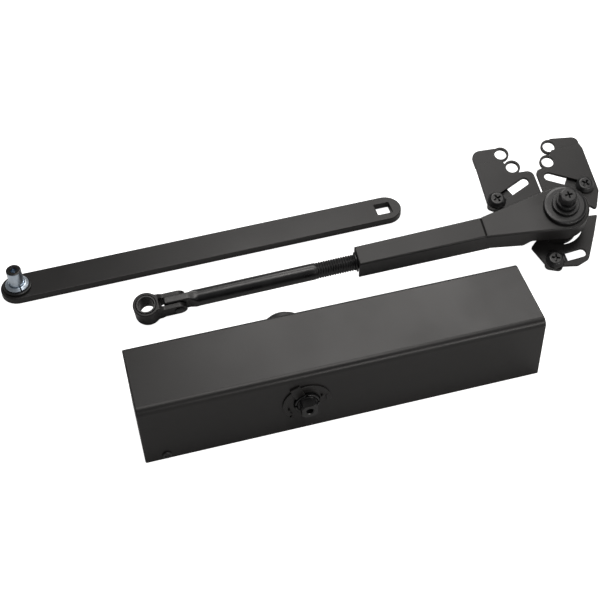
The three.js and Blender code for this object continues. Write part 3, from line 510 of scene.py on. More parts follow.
def turned(obj, matrix):
    """The object with its mesh moved by a matrix."""
    obj.data.transform(matrix)
    return obj


def shifted(obj, x=0, y=0, z=0):
    return turned(obj, Matrix.Translation((x, y, z)))


def combine(obj, operation, *tools):
    """Cuts, joins or intersects a piece with tools, which are used up."""
    for tool in tools:
        step = obj.modifiers.new(operation, "BOOLEAN")
        step.operation = operation
        step.solver = "EXACT"
        step.object = tool
        mesh = mesh_of(obj)
        obj.modifiers.clear()
        old = obj.data
        obj.data = mesh
        bpy.data.meshes.remove(old)
        bpy.data.objects.remove(tool)
        tidy(mesh, 0.0005)
    return obj


def cut(obj, *tools):
    return combine(obj, "DIFFERENCE", *tools)


def joined(obj, *tools):
    return combine(obj, "UNION", *tools)


def common(obj, *tools):
    return combine(obj, "INTERSECT", *tools)


def cylinder(radius, low, high, at=(0, 0), sides=COARSE):
    body = lathe([(0, low), (radius, low), (radius, high), (0, high)], sides)
    return shifted(body, at[0], at[1])


def ring(bore, radius, low, high, edges):
    """A flat ring; its edges are given round its section from the bore's lower one."""
    corners = ((bore, low), (radius, low), (radius, high), (bore, high))
    section = [(*corner, edge) for corner, edge in zip(corners, edges)]
    return lathe(rounded(section))


def bore_tool(radius, low, high, at=(0, 0), chamfer=0.15):
    """A tool for a hole between two faces, which breaks the hole's edges."""
    wide = radius + chamfer + OVER  # the cone runs on past the face at the same slope
    profile = [
        (0, low - OVER), (wide, low - OVER), (radius, low + chamfer),
        (radius, high - chamfer), (wide, high + OVER), (0, high + OVER),
    ]
    return shifted(lathe(profile, COARSE), at[0], at[1])


def cross_tool(size, width, top, depth):
    """A tapered cross-shaped driving recess, open at the top."""
    half = width / 2
    tips = size / 2
    outline = [
        (tips, -half), (tips, half), (half, half), (half, tips), (-half, tips), (-half, half),
        (-tips, half), (-tips, -half), (-half, -half), (-half, -tips), (half, -tips), (half, -half),
    ]
    stages = [(top + 1, 1.0, 1.0), (top, 1.0, 1.0), (top - depth, 0.45, 0.7)]
    sections = []
    for height, long_share, wide_share in stages:
        section = []
        for x, y in outline:
            far_x = abs(x) > half + 1e-6
            far_y = abs(y) > half + 1e-6
            section.append((
                x * (long_share if far_x else wide_share),
                y * (long_share if far_y else wide_share),
                height,
            ))
        sections.append(section)
    return loft(sections)


def bisected(obj, places):
    """Adds edges round a mesh where planes across X cut it."""
    made = bmesh.new()
    made.from_mesh(obj.data)
    for x in places:
        everything = [*made.verts, *made.edges, *made.faces]
        bmesh.ops.bisect_plane(
            made, geom=everything, dist=1e-4, plane_co=(x, 0, 0), plane_no=X_AXIS
        )
    made.to_mesh(obj.data)
    made.free()
    return obj


# ---- Finishes ----


def filled(node, values):
    """The node, with constants put on its sockets."""
    for name, value in values.items():
        node.inputs[name.replace("_", " ")].default_value = value
    return node


def new_node(tree, kind, **values):
    return filled(tree.nodes.new(kind), values)


def new_group(name, inputs, outputs):
    """A shader group with named sockets, and its input and output nodes."""
    tree = bpy.data.node_groups.new(name, "ShaderNodeTree")
    for title, (kind, default) in inputs.items():
        made = tree.interface.new_socket(name=title, in_out="INPUT", socket_type=kind)
        made.default_value = default
    for title in outputs:
        tree.interface.new_socket(name=title, in_out="OUTPUT", socket_type="NodeSocketFloat")
    return tree, new_node(tree, "NodeGroupInput"), new_node(tree, "NodeGroupOutput")


def grain_group():
    """Fine grain and broad patches over a surface."""
    scales = {"Grain Scale": ("NodeSocketFloat", 900), "Patch Scale": ("NodeSocketFloat", 18)}
    tree, given, result = new_group("surface_grain", scales, ("Height", "Patches"))
    link = tree.links.new
    place = new_node(tree, "ShaderNodeTexCoord")
    fine = new_node(tree, "ShaderNodeTexNoise", Detail=3)
    broad = new_node(tree, "ShaderNodeTexNoise", Detail=5, Roughness=0.6)
    stretch = new_node(tree, "ShaderNodeMapRange", From_Min=0.3, From_Max=0.7)
    for noise, scale in zip((fine, broad), scales):
        link(place.outputs["Object"], noise.inputs["Vector"])
        link(given.outputs[scale], noise.inputs["Scale"])
    link(broad.outputs["Fac"], stretch.inputs["Value"])
    link(fine.outputs["Fac"], result.inputs["Height"])
    link(stretch.outputs["Result"], result.inputs["Patches"])
    return tree


def lines_group():
    """Fine lines left by turning, drawing or brushing, close together along one axis."""
    stretch = {"Stretch": ("NodeSocketVector", LINES_ALONG_Z)}
    tree, given, result = new_group("tool_lines", stretch, ("Lines",))
    link = tree.links.new
    place = new_node(tree, "ShaderNodeTexCoord")
    scaled = new_node(tree, "ShaderNodeVectorMath")
    scaled.operation = "MULTIPLY"
    noise = new_node(tree, "ShaderNodeTexNoise", Scale=1, Detail=2)
    link(place.outputs["Object"], scaled.inputs[0])
    link(given.outputs["Stretch"], scaled.inputs[1])
    link(scaled.outputs["Vector"], noise.inputs["Vector"])
    link(noise.outputs["Fac"], result.inputs["Lines"])
    return tree


GROUP_MAKERS = {"grain": grain_group, "lines": lines_group}
GROUPS = {}


def shared_group(name):
    """A shader group that several finishes use, made once."""
    if name not in GROUPS:
        GROUPS[name] = GROUP_MAKERS[name]()
    return GROUPS[name]


class Finish:
    """A material on its way: its nodes, and the shader that they feed."""

    def __init__(self, name, specular, metallic=0.0):
        self.material = bpy.data.materials.new(name)
        self.material.use_nodes = True
        self.tree = self.material.node_tree
        self.link = self.tree.links.new
        self.shader = self.tree.nodes["Principled BSDF"]
        filled(self.shader, {"Metallic": metallic, "Specular IOR Level": specular})

    def node(self, kind, **values):
        return new_node(self.tree, kind, **values)

    def group(self, name, **values):
        made = self.node("ShaderNodeGroup")
        made.node_tree = shared_group(name)
        return filled(made, values)

    def spread(self, source, low, high):
        """A value that runs between two numbers as its source runs from 0 to 1."""
        made = self.node("ShaderNodeMapRange", To_Min=low, To_Max=high)
        self.link(source, made.inputs["Value"])
        return made.outputs["Result"]

    def mixed(self, share, first, second):
        """One colour or the other, by share. Each is a colour or a socket."""
        made = self.node("ShaderNodeMix")
        made.data_type = "RGBA"
        self.link(share, made.inputs["Factor"])
        for given, target in ((first, made.inputs[6]), (second, made.inputs[7])):
            if isinstance(given, bpy.types.NodeSocket):
                self.link(given, target)
            else:
                target.default_value = (*given, 1)
        return made.outputs[2]

    def finished(self, colour_from, roughness_from, height, bump):
        """The material, once its shader has been fed. The bump is (strength, metres)."""
        raised = self.node("ShaderNodeBump", Strength=bump[0], Distance=bump[1])
        self.link(height, raised.inputs["Height"])
        self.link(raised.outputs["Normal"], self.shader.inputs["Normal"])
        self.link(colour_from, self.shader.inputs["Base Color"])
        self.link(roughness_from, self.shader.inputs["Roughness"])
        return self.material


def shaded(value, share):
    """A colour made lighter or darker."""
    return tuple(part * share for part in value)


def coating(name, dark, pale, roughness, specular, scales, bump):
    """A painted, oxidised, cast or moulded finish with grain and faint patches."""
    finish = Finish(name, specular)
    grain = finish.group("grain", Grain_Scale=scales[0], Patch_Scale=scales[1])
    patches = grain.outputs["Patches"]
    return finish.finished(
        finish.mixed(patches, dark, pale), finish.spread(patches, *roughness),
        grain.outputs["Height"], bump,
    )


def bare_metal(name, bright, roughness, stretch):
    """A bare metal with tool lines along one axis."""
    finish = Finish(name, 0.5, metallic=1.0)
    lines = finish.group("lines", Stretch=stretch).outputs["Lines"]
    grain = finish.group("grain", Grain_Scale=700, Patch_Scale=40)
    return finish.finished(
        finish.mixed(grain.outputs["Patches"], bright, shaded(bright, 0.8)),
        finish.spread(lines, *roughness), lines, (0.25, 0.00003),
    )


LINES_ALONG_X = (2500, 50, 50)
LINES_ALONG_Y = (50, 2500, 50)
LINES_ALONG_Z = (50, 50, 2500)
FILM_FROM = 25.2 * MM   # up the stud, where its dark film starts
FILM_FULL = 26.2 * MM


def zinc_plate(colours):
    """Bright zinc, with a dark film on the stud's tip."""
    finish = Finish("zinc_plate", 0.5, metallic=1.0)
    grain = finish.group("grain", Grain_Scale=900, Patch_Scale=120)
    lines = finish.group("lines", Stretch=LINES_ALONG_Z)
    place = finish.node("ShaderNodeTexCoord")
    parts = finish.node("ShaderNodeSeparateXYZ")
    finish.link(place.outputs["Object"], parts.inputs["Vector"])
    film = finish.node("ShaderNodeMapRange", From_Min=FILM_FROM, From_Max=FILM_FULL)
    finish.link(parts.outputs["Z"], film.inputs["Value"])
    bright = finish.mixed(grain.outputs["Patches"], colours.zinc, colours.zinc_dark)
    return finish.finished(
        finish.mixed(film.outputs["Result"], bright, colours.soot),
        finish.spread(lines.outputs["Lines"], 0.22, 0.38),
        grain.outputs["Height"], (0.15, 0.00005),
    )


# Coatings give: name, colour, paler colour, roughness, specular, scales of grain and patches
# per metre, and bump. Metals give: name, colour, roughness and the direction of their lines.
FINISH_MAKERS = {
    "black_coat": lambda c: coating(
        "satin_black_coat", c.coat, c.coat_pale, (0.34, 0.44), 0.3, (650, 14), (0.16, 0.00008)
    ),
    "black_steel": lambda c: coating(
        "black_oxide", c.blacking, c.blacking_pale, (0.24, 0.4), 0.42, (1500, 60), (0.12, 0.00005)
    ),
    "cast_iron": lambda c: coating(
        "cast_iron", c.iron, shaded(c.iron, 1.4), (0.5, 0.72), 0.4, (420, 30), (0.5, 0.0002)
    ),
    "rubber": lambda c: coating(
        "seal_rubber", c.rubber, shaded(c.rubber, 1.8), (0.75, 0.9), 0.3, (900, 40), (0.2, 0.0001)
    ),
    "black_plastic": lambda c: coating(
        "moulded_plastic", c.plastic, shaded(c.plastic, 1.5), (0.42, 0.52), 0.4, (1100, 25),
        (0.3, 0.0001),
    ),
    "zinc": zinc_plate,
    "steel": lambda c: bare_metal("turned_steel", c.steel, (0.25, 0.42), LINES_ALONG_X),
    "spring_steel": lambda c: bare_metal("spring_wire", c.spring, (0.3, 0.45), LINES_ALONG_X),
    "brass": lambda c: bare_metal("turned_brass", c.brass, (0.22, 0.4), LINES_ALONG_Y),
}
FINISHES = {}


def finish_for(slot):
    """The material for one of the record's slots, made once."""
    if slot not in FINISHES:
        shades = bpy.context.scene.closer_finish
        values = SimpleNamespace(**{n: tuple(getattr(shades, n)) for n in shades.__annotations__})
        FINISHES[slot] = FINISH_MAKERS[slot](values)
    return FINISHES[slot]


def finish_piece(obj, name, placed, body, slot, *nodes):
    """Puts a piece in place, gives it its finish and its body, and hides the nodes that it stands
    for.
    """
    obj.name = name
    obj.data.name = name
    obj.data.transform(placed)
    obj.data.materials.clear()
    obj.data.materials.append(finish_for(slot))
    obj.data.shade_smooth()
    obj.data.set_sharp_from_angle(angle=SHARP)
    weighted = obj.modifiers.new("weighted", "WEIGHTED_NORMAL")
    weighted.keep_sharp = True
    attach(obj, body)
    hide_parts(*nodes)
    return obj


# ---- The closer ----


class DOORCLOSER_OT_cover(bpy.types.Operator):
    """Build the closer's cover with its guard ring"""

    bl_idname = "door_closer.cover"
    bl_label = "Cover"

    GUARD_FROM = math.radians(-6)
    GUARD_TO = math.radians(221)
    BLOCK = (8, 12)
    BLOCK_TURN = math.radians(20)
    BLOCK_AT = (14.9, math.radians(117))
    PEGS = ((13.7, -2.3), (16.8, -6.2), (201, -3.8), (228, 0))  # degrees, and how far past the ring

    def guard(self, sizes):
        """The part ring with its block and pegs, seen from the front."""
        sunk = -sizes.wall / 2
        outline = arc((0, 0), sizes.guard_outer, self.GUARD_FROM, self.GUARD_TO, 56)
        outline += arc((0, 0), sizes.guard_inner, self.GUARD_TO, self.GUARD_FROM, 56)
        part_ring = slab(outline, sunk, sizes.guard_height, 0.35)
        wide, tall = self.BLOCK
        block_plan = rectangle(-wide / 2, wide / 2, -tall / 2, tall / 2, 1)
        block = slab(block_plan, sunk, sizes.block_height, 0.4)
        shifted(turned(block, about_z(self.BLOCK_TURN)), *polar(*self.BLOCK_AT))
        parts = [block]
        radius, top = sizes.peg_radius, sizes.block_height
        for degrees, offset in self.PEGS:
            peg = spun([(0, sunk), (radius, sunk), (radius, top, 0.5), (0, top)], TINY)
            parts.append(shifted(peg, *polar(sizes.guard_outer + offset, math.radians(degrees))))
        return joined(part_ring, *parts)

    def execute(self, context):
        sizes = in_mm(context.scene.closer_cover)
        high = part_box("cover")[1]
        half = high.x / MM
        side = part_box("mounting_plate")[1].y / MM + sizes.wall + GAP
        top = high.z / MM
        axis_x, _, axis_z = (part / MM for part in joint("spindle_turn")["pos_m"])

        def section(inset, bottom):
            corners = [
                (inset - side, bottom), (side - inset, bottom),
                (side - inset, top - inset, sizes.far_radius - inset),
                (inset - side, top - inset, sizes.near_radius - inset),
            ]
            return rounded(corners, steps=14)

        shell = slab(section(0, 0), -half, half, sizes.end_radius, steps=5)
        turned(shell, CYLINDER_WISE)
        inside = half - sizes.wall
        hollow = slab(section(sizes.wall, -REACH), -inside, inside, 0.4)
        turned(hollow, CYLINDER_WISE)
        guard = turned(self.guard(sizes), FACING_FRONT)
        shifted(guard, axis_x, -side, axis_z)
        spindle = turned(cylinder(sizes.spindle_hole, -REACH, REACH, sides=FINE), FACING_FRONT)
        shifted(spindle, axis_x, 0, axis_z)
        joined(shell, guard)
        cut(shell, hollow, spindle)
        for node, way in (("cover_screw_front", 1), ("cover_screw_rear", -1)):
            middle = middle_of(node) / MM
            inner, outer = way * (side - 2 * sizes.wall), way * (side + sizes.wall)
            hole = cylinder(sizes.screw_shank + GAP, inner, outer, sides=TINY)
            cut(shell, shifted(turned(hole, FACING_FRONT), middle.x, 0, middle.z))
        finish_piece(shell, "closer_cover", UPRIGHT, "closer", "black_coat", "cover")
        return {"FINISHED"}


class DOORCLOSER_OT_cover_screws(bpy.types.Operator):
    """Build the two screws that hold the cover"""

    bl_idname = "door_closer.cover_screws"
    bl_label = "Cover screws"

    def execute(self, context):
        sizes = in_mm(context.scene.closer_cover)
        for node, outward in (("cover_screw_front", -Y_AXIS), ("cover_screw_rear", Y_AXIS)):
            low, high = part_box(node)
            top = max(abs(low.y), abs(high.y)) / MM
            under = top - sizes.screw_head_height
            end = under - sizes.screw_reach
            shank, head = sizes.screw_shank, sizes.screw_head
            profile = [
                (0, end), (shank, end, 0.4), (shank, under),
                (head, under, 0.15), (head * 0.92, top, 0.8), (0, top),
            ]
            screw = cut(spun(profile, COARSE), cross_tool(4, 1, top, 0.9))
            middle = middle_of(node)
            placed = placing(X_AXIS, outward.cross(X_AXIS), outward, (middle.x, 0, middle.z))
            finish_piece(screw, "screw_of_" + node, placed, "closer", "black_steel", node)
        return {"FINISHED"}


class DOORCLOSER_OT_spindle(bpy.types.Operator):
    """Build the spindle with its pinion, square ends and packing nuts"""

    bl_idname = "door_closer.spindle"
    bl_label = "Spindle and packing nuts"

    TEETH = 10

    def gear(self, sizes):
        """The pinion's outline, with a tooth pointing along its own Y."""
        outline = []
        flank = [(sizes.gear_root, 1.2), (sizes.gear_pitch, 1.0), (sizes.gear_tip, 0.5)]
        half_angles = [(radius, math.asin(half / radius)) for radius, half in flank]
        around = [(radius, -angle) for radius, angle in half_angles] + half_angles[::-1]
        for tooth in range(self.TEETH):
            middle = FULL_TURN * tooth / self.TEETH + QUARTER_TURN
            outline += [polar(radius, middle + angle) for radius, angle in around]
        return outline

    def execute(self, context):
        sizes = in_mm(context.scene.closer_spindle)
        end = sizes.end
        body = slab(prism(sizes.flats, 4), -end, end)
        corner = sizes.journal

        def bar(end, inset, length):
            """A round bar with both ends tapered."""
            tip, shoulder = corner - inset, end - length
            profile = [(0, -end), (tip, -end), (corner, -shoulder)]
            return lathe(profile + [(corner, shoulder), (tip, end), (0, end)])

        common(body, bar(end, 0.9, 1.2))
        journal = bar(sizes.journal_end, 0.4, 0.6)
        gear = slab(self.gear(sizes), -sizes.gear_half, sizes.gear_half)
        joined(body, journal, gear)
        hole = lathe([
            (0, -end - 1), (sizes.hole + 1.6, -end - 1), (sizes.hole, 0.6 - end),
            (sizes.hole, sizes.hole_depth - end), (0, sizes.hole_depth + 1 - end),
        ], COARSE)
        cut(body, hole)
        finish_piece(body, "spindle_with_pinion", SPINDLE, "spindle", "black_steel", "pinion")
        bore, outer, nose = sizes.nut_bore, sizes.nut_body, sizes.nut_nose
        low, shoulder, high = sizes.nut_from, sizes.nut_shoulder, sizes.nut_end
        half = sizes.notch_width / 2
        for node, flip in (("packing_nut_front", math.pi), ("packing_nut_rear", 0)):
            nut = lathe(rounded([
                (bore, low), (outer, low, 0.3), (outer, shoulder, 0.3), (nose, shoulder, 0),
                (nose, high, 0.6), (bore, high, 0.5),
            ]))
            for turn in (0, QUARTER_TURN):
                plan = rectangle(-outer - OVER, outer + OVER, -half, half)
                notch = slab(plan, high - sizes.notch_depth, high + OVER)
                cut(nut, turned(notch, about_z(turn)))
            facing = Matrix.Rotation(flip, 4, "X")
            finish_piece(nut, "nut_of_" + node, SPINDLE @ facing, "closer", "black_steel", node)
        return {"FINISHED"}


class DOORCLOSER_OT_spindle_cap(bpy.types.Operator):
    """Build the cap that covers the rear spindle end"""

    bl_idname = "door_closer.spindle_cap"
    bl_label = "Spindle cap"

    def execute(self, context):
        sizes = in_mm(context.scene.closer_spindle)
        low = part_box("spindle_cap")[0].y / MM
        floor, rim = low + sizes.cap_socket_depth, low + sizes.cap_rim
        taper, top = low + sizes.cap_taper_height, low + sizes.cap_height
        cap = spun([
            (0, floor), (sizes.cap_socket, floor, 0.8), (sizes.cap_socket, low, 0.5),
            (sizes.cap_base, low, 0.4), (sizes.cap_base, rim, 1.2),
            (sizes.cap_shoulder, rim, 0.6), (sizes.cap_taper, taper, 3),
            (sizes.cap_top, top, 3.5), (0, top),
        ], steps=8)
        node = "spindle_cap"
        finish_piece(cap, "rear_spindle_cap", SPINDLE, node, "black_plastic", node)
        return {"FINISHED"}


# ---- The main arm ----


class DOORCLOSER_OT_main_arm(bpy.types.Operator):
    """Build the main arm with its stud, flange and washer"""

    bl_idname = "door_closer.main_arm"
    bl_label = "Main arm"

    GROOVE_AT = math.radians(-74)
    GROOVE_DEPTH = 0.6
    FLANGE_RIM = 0.9

    def execute(self, context):
        sizes = in_mm(context.scene.closer_arm)
        placed = arm_frame(sizes)
        half = sizes.square / 2
        square = rectangle(sizes.square_at - half, sizes.square_at + half, -half, half, 1)
        outline = stadium((0, 0), (sizes.reach, 0), sizes.width / 2, 40)
        holes = (square, circle(sizes.shank + GAP))
        blade = slab(outline, 0, sizes.thickness, sizes.edge, holes, steps=4)
        finish_piece(blade, "flat_main_arm", placed, "main_arm", "black_coat", "main_arm_bar")

        bore = sizes.ring_bore
        edges = (0.2, 0.3, 0.6, 0.3)
        washer = ring(bore, sizes.washer, sizes.washer_low, sizes.washer_high, edges)
        finish_piece(washer, "dark_stud_washer", placed, "main_arm", "black_steel", "stud_washer")

        along_groove = about_z(self.GROOVE_AT)
        half_groove = sizes.groove / 2
        low, high = sizes.flange_low, sizes.flange_high
        flange = lathe(rounded([
            (bore, low, 0.2), (sizes.flange, low, 0.25),
            (sizes.flange, low + self.FLANGE_RIM, 0.3), (sizes.flange_crown, high, 0.6),
            (bore, high, 0.2),
        ]))
        gap = slab(rectangle(0, REACH, -half_groove, half_groove), low - OVER, high + OVER)
        cut(flange, turned(gap, along_groove))
        finish_piece(flange, "bright_stud_flange", placed, "main_arm", "zinc", "stud_flange")

        low, step, top = GAP, sizes.washer_low, sizes.stud_top
        hole, floor, chamfer = sizes.stud_hole, top - sizes.stud_hole_depth, 0.5
        stud = spun([
            (0, low), (sizes.shank, low, 0.4), (sizes.shank, step), (sizes.stud, step, 0.2),
            (sizes.stud, top, 0.9), (hole + chamfer, top), (hole, top - chamfer), (hole, floor),
            (0, floor - 1),
        ])
        plan = rectangle(sizes.stud - self.GROOVE_DEPTH, REACH, -half_groove, half_groove)
        groove = slab(plan, sizes.flange_low, 0.75 * top)
        cut(stud, turned(groove, along_groove))
        finish_piece(stud, "tall_arm_stud", placed, "main_arm", "zinc", "arm_stud")
        return {"FINISHED"}


# ---- The forearm ----


def rivet_hole(sizes):
    """A tool for the hole across the knuckle."""
    hole = cylinder(sizes.rivet + GAP, -REACH, REACH, (sizes.rivet_at, 0), 32)
    return turned(hole, FACING_FRONT)


class DOORCLOSER_OT_eye(bpy.types.Operator):
    """Build the forearm's eye with its bushing and rivet"""

    bl_idname = "door_closer.eye"
    bl_label = "Eye, bushing and rivet"

    BLEND_TURN = math.radians(14)   # of the eye, taken up by the blend into a cheek
    SLIGHT = 0.4
    SHOULDER = 8.5                  # from the eye's middle to where its height drops
    SLOPE_END = 13.5

    def execute(self, context):
        sizes = in_mm(context.scene.closer_forearm)
        placed = forearm_frame(sizes)
        half = sizes.eye_height / 2
        inner, outer = sizes.cheek_inner, sizes.cheek_outer
        rivet_at = sizes.rivet_at
        end = rivet_at + sizes.cheek_half + 1
        meets = math.asin(outer / sizes.eye)
        neck = sizes.eye * math.cos(meets)
        start = meets + self.BLEND_TURN
        plan = arc((0, 0), sizes.eye, start, FULL_TURN - start, 64)
        joins, gap_end = neck + self.SLIGHT, sizes.eye - self.SLIGHT
        plan += rounded([
            plan[-1], (joins, -outer, 4), (end, -outer), (end, -inner), (gap_end, -inner, 1.8),
            (gap_end, inner, 1.8), (end, inner), (end, outer), (joins, outer, 4), plan[0],
        ], closed=False)[1:-1]
        eye = slab(plan, -half, half, 0.8, steps=4)
        tall = half + 1
        low = sizes.cheek_half
        edge = [(-REACH, tall), (self.SHOULDER, tall, 2), (self.SLOPE_END, low, 4), (rivet_at, low)]
        under = rounded([(u, -w, *fillet) for u, w, *fillet in edge], closed=False)
        above = rounded(edge[::-1], closed=False)
        nose = arc((rivet_at, 0), low, -QUARTER_TURN, QUARTER_TURN, 24)
        profile = under + nose[1:-1] + above
        common(eye, turned(slab(profile, -REACH, REACH), FACING_FRONT))
        cut(eye, bore_tool(sizes.bushing + GAP, -half, half, chamfer=0.5))
        cut(eye, rivet_hole(sizes))
        finish_piece(eye, "eye_with_cheeks", placed, "eye", "black_coat", "forearm_eye")

        bushing = ring(sizes.bushing_bore, sizes.bushing, -half, half, (0.5, 0.2, 0.2, 0.5))
        finish_piece(bushing, "bushing_of_eye", placed, "eye", "black_steel", "eye_bushing")

        face = outer + GAP
        shank, head, tail = sizes.rivet, sizes.rivet_head, sizes.rivet_head * 0.8
        tail_end, head_end = -face - 1, face + 1.5
        profile = [
            (0, tail_end), (tail, tail_end, 0.4), (tail, -face), (shank, -face), (shank, face),
            (head, face, 0.2), (head, face + 0.6, 0.6), (head * 0.62, head_end, 1.2), (0, head_end),
        ]
        rivet = turned(spun(profile, COARSE), FACING_FRONT)
        shifted(rivet, rivet_at)
        finish_piece(rivet, "rivet_of_knuckle", placed, "rod", "black_steel", "knuckle_rivet")
        return {"FINISHED"}


class DOORCLOSER_OT_rod(bpy.types.Operator):
    """Build the rod with its flat tongue and its thread"""

    bl_idname = "door_closer.rod"
    bl_label = "Threaded rod"

    AROUND = 48
    FLAT_POWER = 9.0        # how square a flat section is: 2 is round
    TIP_CORNER = 1.5
    THREAD_DEPTH = 0.85
    RINGS_PER_PITCH = 6

    def section(self, u, wide, tall, power, dip=None):
        """One section of the rod: a round or squared outline across it."""
        points = []
        for i in range(self.AROUND):
            angle = FULL_TURN * i / self.AROUND
            c, s = math.cos(angle), math.sin(angle)
            grown = 1 - (dip(angle) if dip else 0)
            v = math.copysign(abs(c) ** (2 / power), c) * wide * grown
            w = math.copysign(abs(s) ** (2 / power), s) * tall * grown
            points.append((u, v, w))
        return points

    def execute(self, context):
        sizes = in_mm(context.scene.closer_forearm)
        centre, thin, radius = sizes.rivet_at, sizes.tongue_half, sizes.rod
        tall_end = sizes.tongue_tall
        tip = centre - sizes.tongue
        neck = centre + sizes.tongue_neck
        round_from = sizes.rod_round_from
        clear = centre + sizes.cheek_half + 1.4

        def ease(u, start, end):
            share = min(max((u - start) / (end - start), 0), 1)
            return share * share * (3 - 2 * share)

        sections = []
        corner = self.TIP_CORNER
        for i in range(6):
            angle = math.pi / 2 * i / 5
            back = corner * (1 - math.sin(angle))
            u = tip + corner * (1 - math.cos(angle))
            wide = thin - min(back, 0.6)
            sections.append(self.section(u, wide, tall_end - back, self.FLAT_POWER))
        steps = 16
        for i in range(1, steps + 1):
            u = neck + (round_from - neck) * i / steps
            tall = tall_end + (radius - tall_end) * ease(u, neck, round_from - 2)
            wide = thin + (radius - thin) * ease(u, clear, round_from)
            power = self.FLAT_POWER + (2 - self.FLAT_POWER) * ease(u, clear - 1, round_from)
            sections.append(self.section(u, wide, tall, power))
        sections.append(self.section(sizes.thread_from - 1, radius, radius, 2))
        pitch = sizes.thread_pitch
        rings = int((sizes.rod_end - 1 - sizes.thread_from) / pitch * self.RINGS_PER_PITCH)
        for i in range(rings + 1):
            u = sizes.thread_from + pitch * i / self.RINGS_PER_PITCH
            grown = ease(u, sizes.thread_from, sizes.thread_from + 2 * pitch)
            depth = self.THREAD_DEPTH / radius * grown

            def dip(angle, u=u, depth=depth):
                phase = (u / pitch - angle / FULL_TURN) % 1
                return depth * (1 - abs(2 * phase - 1))

            sections.append(self.section(u, radius, radius, 2, dip))
        end = radius - 1
        sections.append(self.section(sizes.rod_end, end, end, 2))
        rod = loft(sections)
        cut(rod, rivet_hole(sizes))
        placed = forearm_frame(sizes)
        finish_piece(rod, "rod_with_tongue", placed, "rod", "black_steel", "threaded_rod")
        return {"FINISHED"}


class DOORCLOSER_OT_tube(bpy.types.Operator):
    """Build the pressed tube and the washer at its mouth"""

    bl_idname = "door_closer.tube"
    bl_label = "Forearm tube"

    CREASE_HALF = 0.9
    CREASE_DEPTH = 0.6
    TOP_EDGE = 1.6
    FLAT_INSET = 1.0
    SKIRT_END = 316         # from the eye's middle to where the skirt stops
    NOTCH_FROM = 322

    def plan(self, sizes, inset, start):
        """The tube's outline seen from above."""
        end = sizes.end_radius - inset
        corner = Vector((sizes.taper, sizes.taper_half - inset))
        to_corner = corner - Vector((sizes.pivot, 0))
        angle = math.atan2(to_corner.y, to_corner.x) - math.acos(end / to_corner.length)
        near = [(start, inset - sizes.mouth_half), (sizes.crease, inset - sizes.crease_half),
                (sizes.taper, inset - sizes.taper_half)]
        far = [(u, -v) for u, v in reversed(near)]
        return near + arc((sizes.pivot, 0), end, -angle, angle, 48) + far

    def raised(self, obj, sizes, creased):
        """Lifts the top towards the pivot, and presses the crease into it."""
        flat_from = sizes.pivot - sizes.end_radius + self.FLAT_INSET
        crease = sizes.crease
        places = [sizes.taper, flat_from]
        if creased:
            places += [crease - self.CREASE_HALF, crease, crease + self.CREASE_HALF]
        places += [sizes.taper + (flat_from - sizes.taper) * i / 4 for i in (1, 2, 3)]
        bisected(obj, places)
        for vertex in obj.data.vertices:
            u, _, w = vertex.co
            if w < sizes.top / 2:
                continue
            share = min(max((u - sizes.taper) / (flat_from - sizes.taper), 0), 1)
            vertex.co.z += share * (sizes.top_at_pivot - sizes.top)
            if creased and abs(u - crease) < 0.01:
                vertex.co.z -= self.CREASE_DEPTH
        return obj

    def execute(self, context):
        sizes = in_mm(context.scene.closer_forearm)
        placed = forearm_frame(sizes)
        low = -sizes.skirt - SPARE
        outline = self.plan(sizes, 0, sizes.mouth)
        tube = slab(outline, low, sizes.top, self.TOP_EDGE, steps=5)
        self.raised(tube, sizes, creased=True)
        wall = sizes.wall
        hollow_plan = self.plan(sizes, wall, sizes.mouth - SPARE)
        hollow = slab(hollow_plan, low - SPARE, sizes.top - wall, 0.5)
        self.raised(hollow, sizes, creased=False)
        skirt, taper, notch = -sizes.skirt, -sizes.taper_skirt, -sizes.notch_skirt
        before, past = sizes.mouth - 2 * SPARE, sizes.pivot + REACH
        below = rounded([
            (before, -REACH), (past, -REACH), (past, notch), (self.NOTCH_FROM, notch, 3),
            (self.SKIRT_END, taper, 3), (sizes.taper + 3, taper, 2), (sizes.crease, skirt, 2),
            (before, skirt),
        ])
        trim = turned(slab(below, -REACH, REACH), FACING_FRONT)
        bolt_hole = cylinder(in_mm(context.scene.closer_pivot).bore, 0, REACH, (sizes.pivot, 0))
        cut(tube, hollow, trim, bolt_hole)
        finish_piece(tube, "pressed_forearm_tube", placed, "tube", "black_coat", "forearm_tube")

        high = sizes.mouth - GAP
        washer = ring(sizes.rod + GAP, sizes.end_washer, high - 1, high, (0.2, 0.3, 0.3, 0.2))
        turned(washer, CYLINDER_WISE)
        finish_piece(washer, "washer_of_tube", placed, "tube", "black_steel", "tube_end_washer")
        return {"FINISHED"}


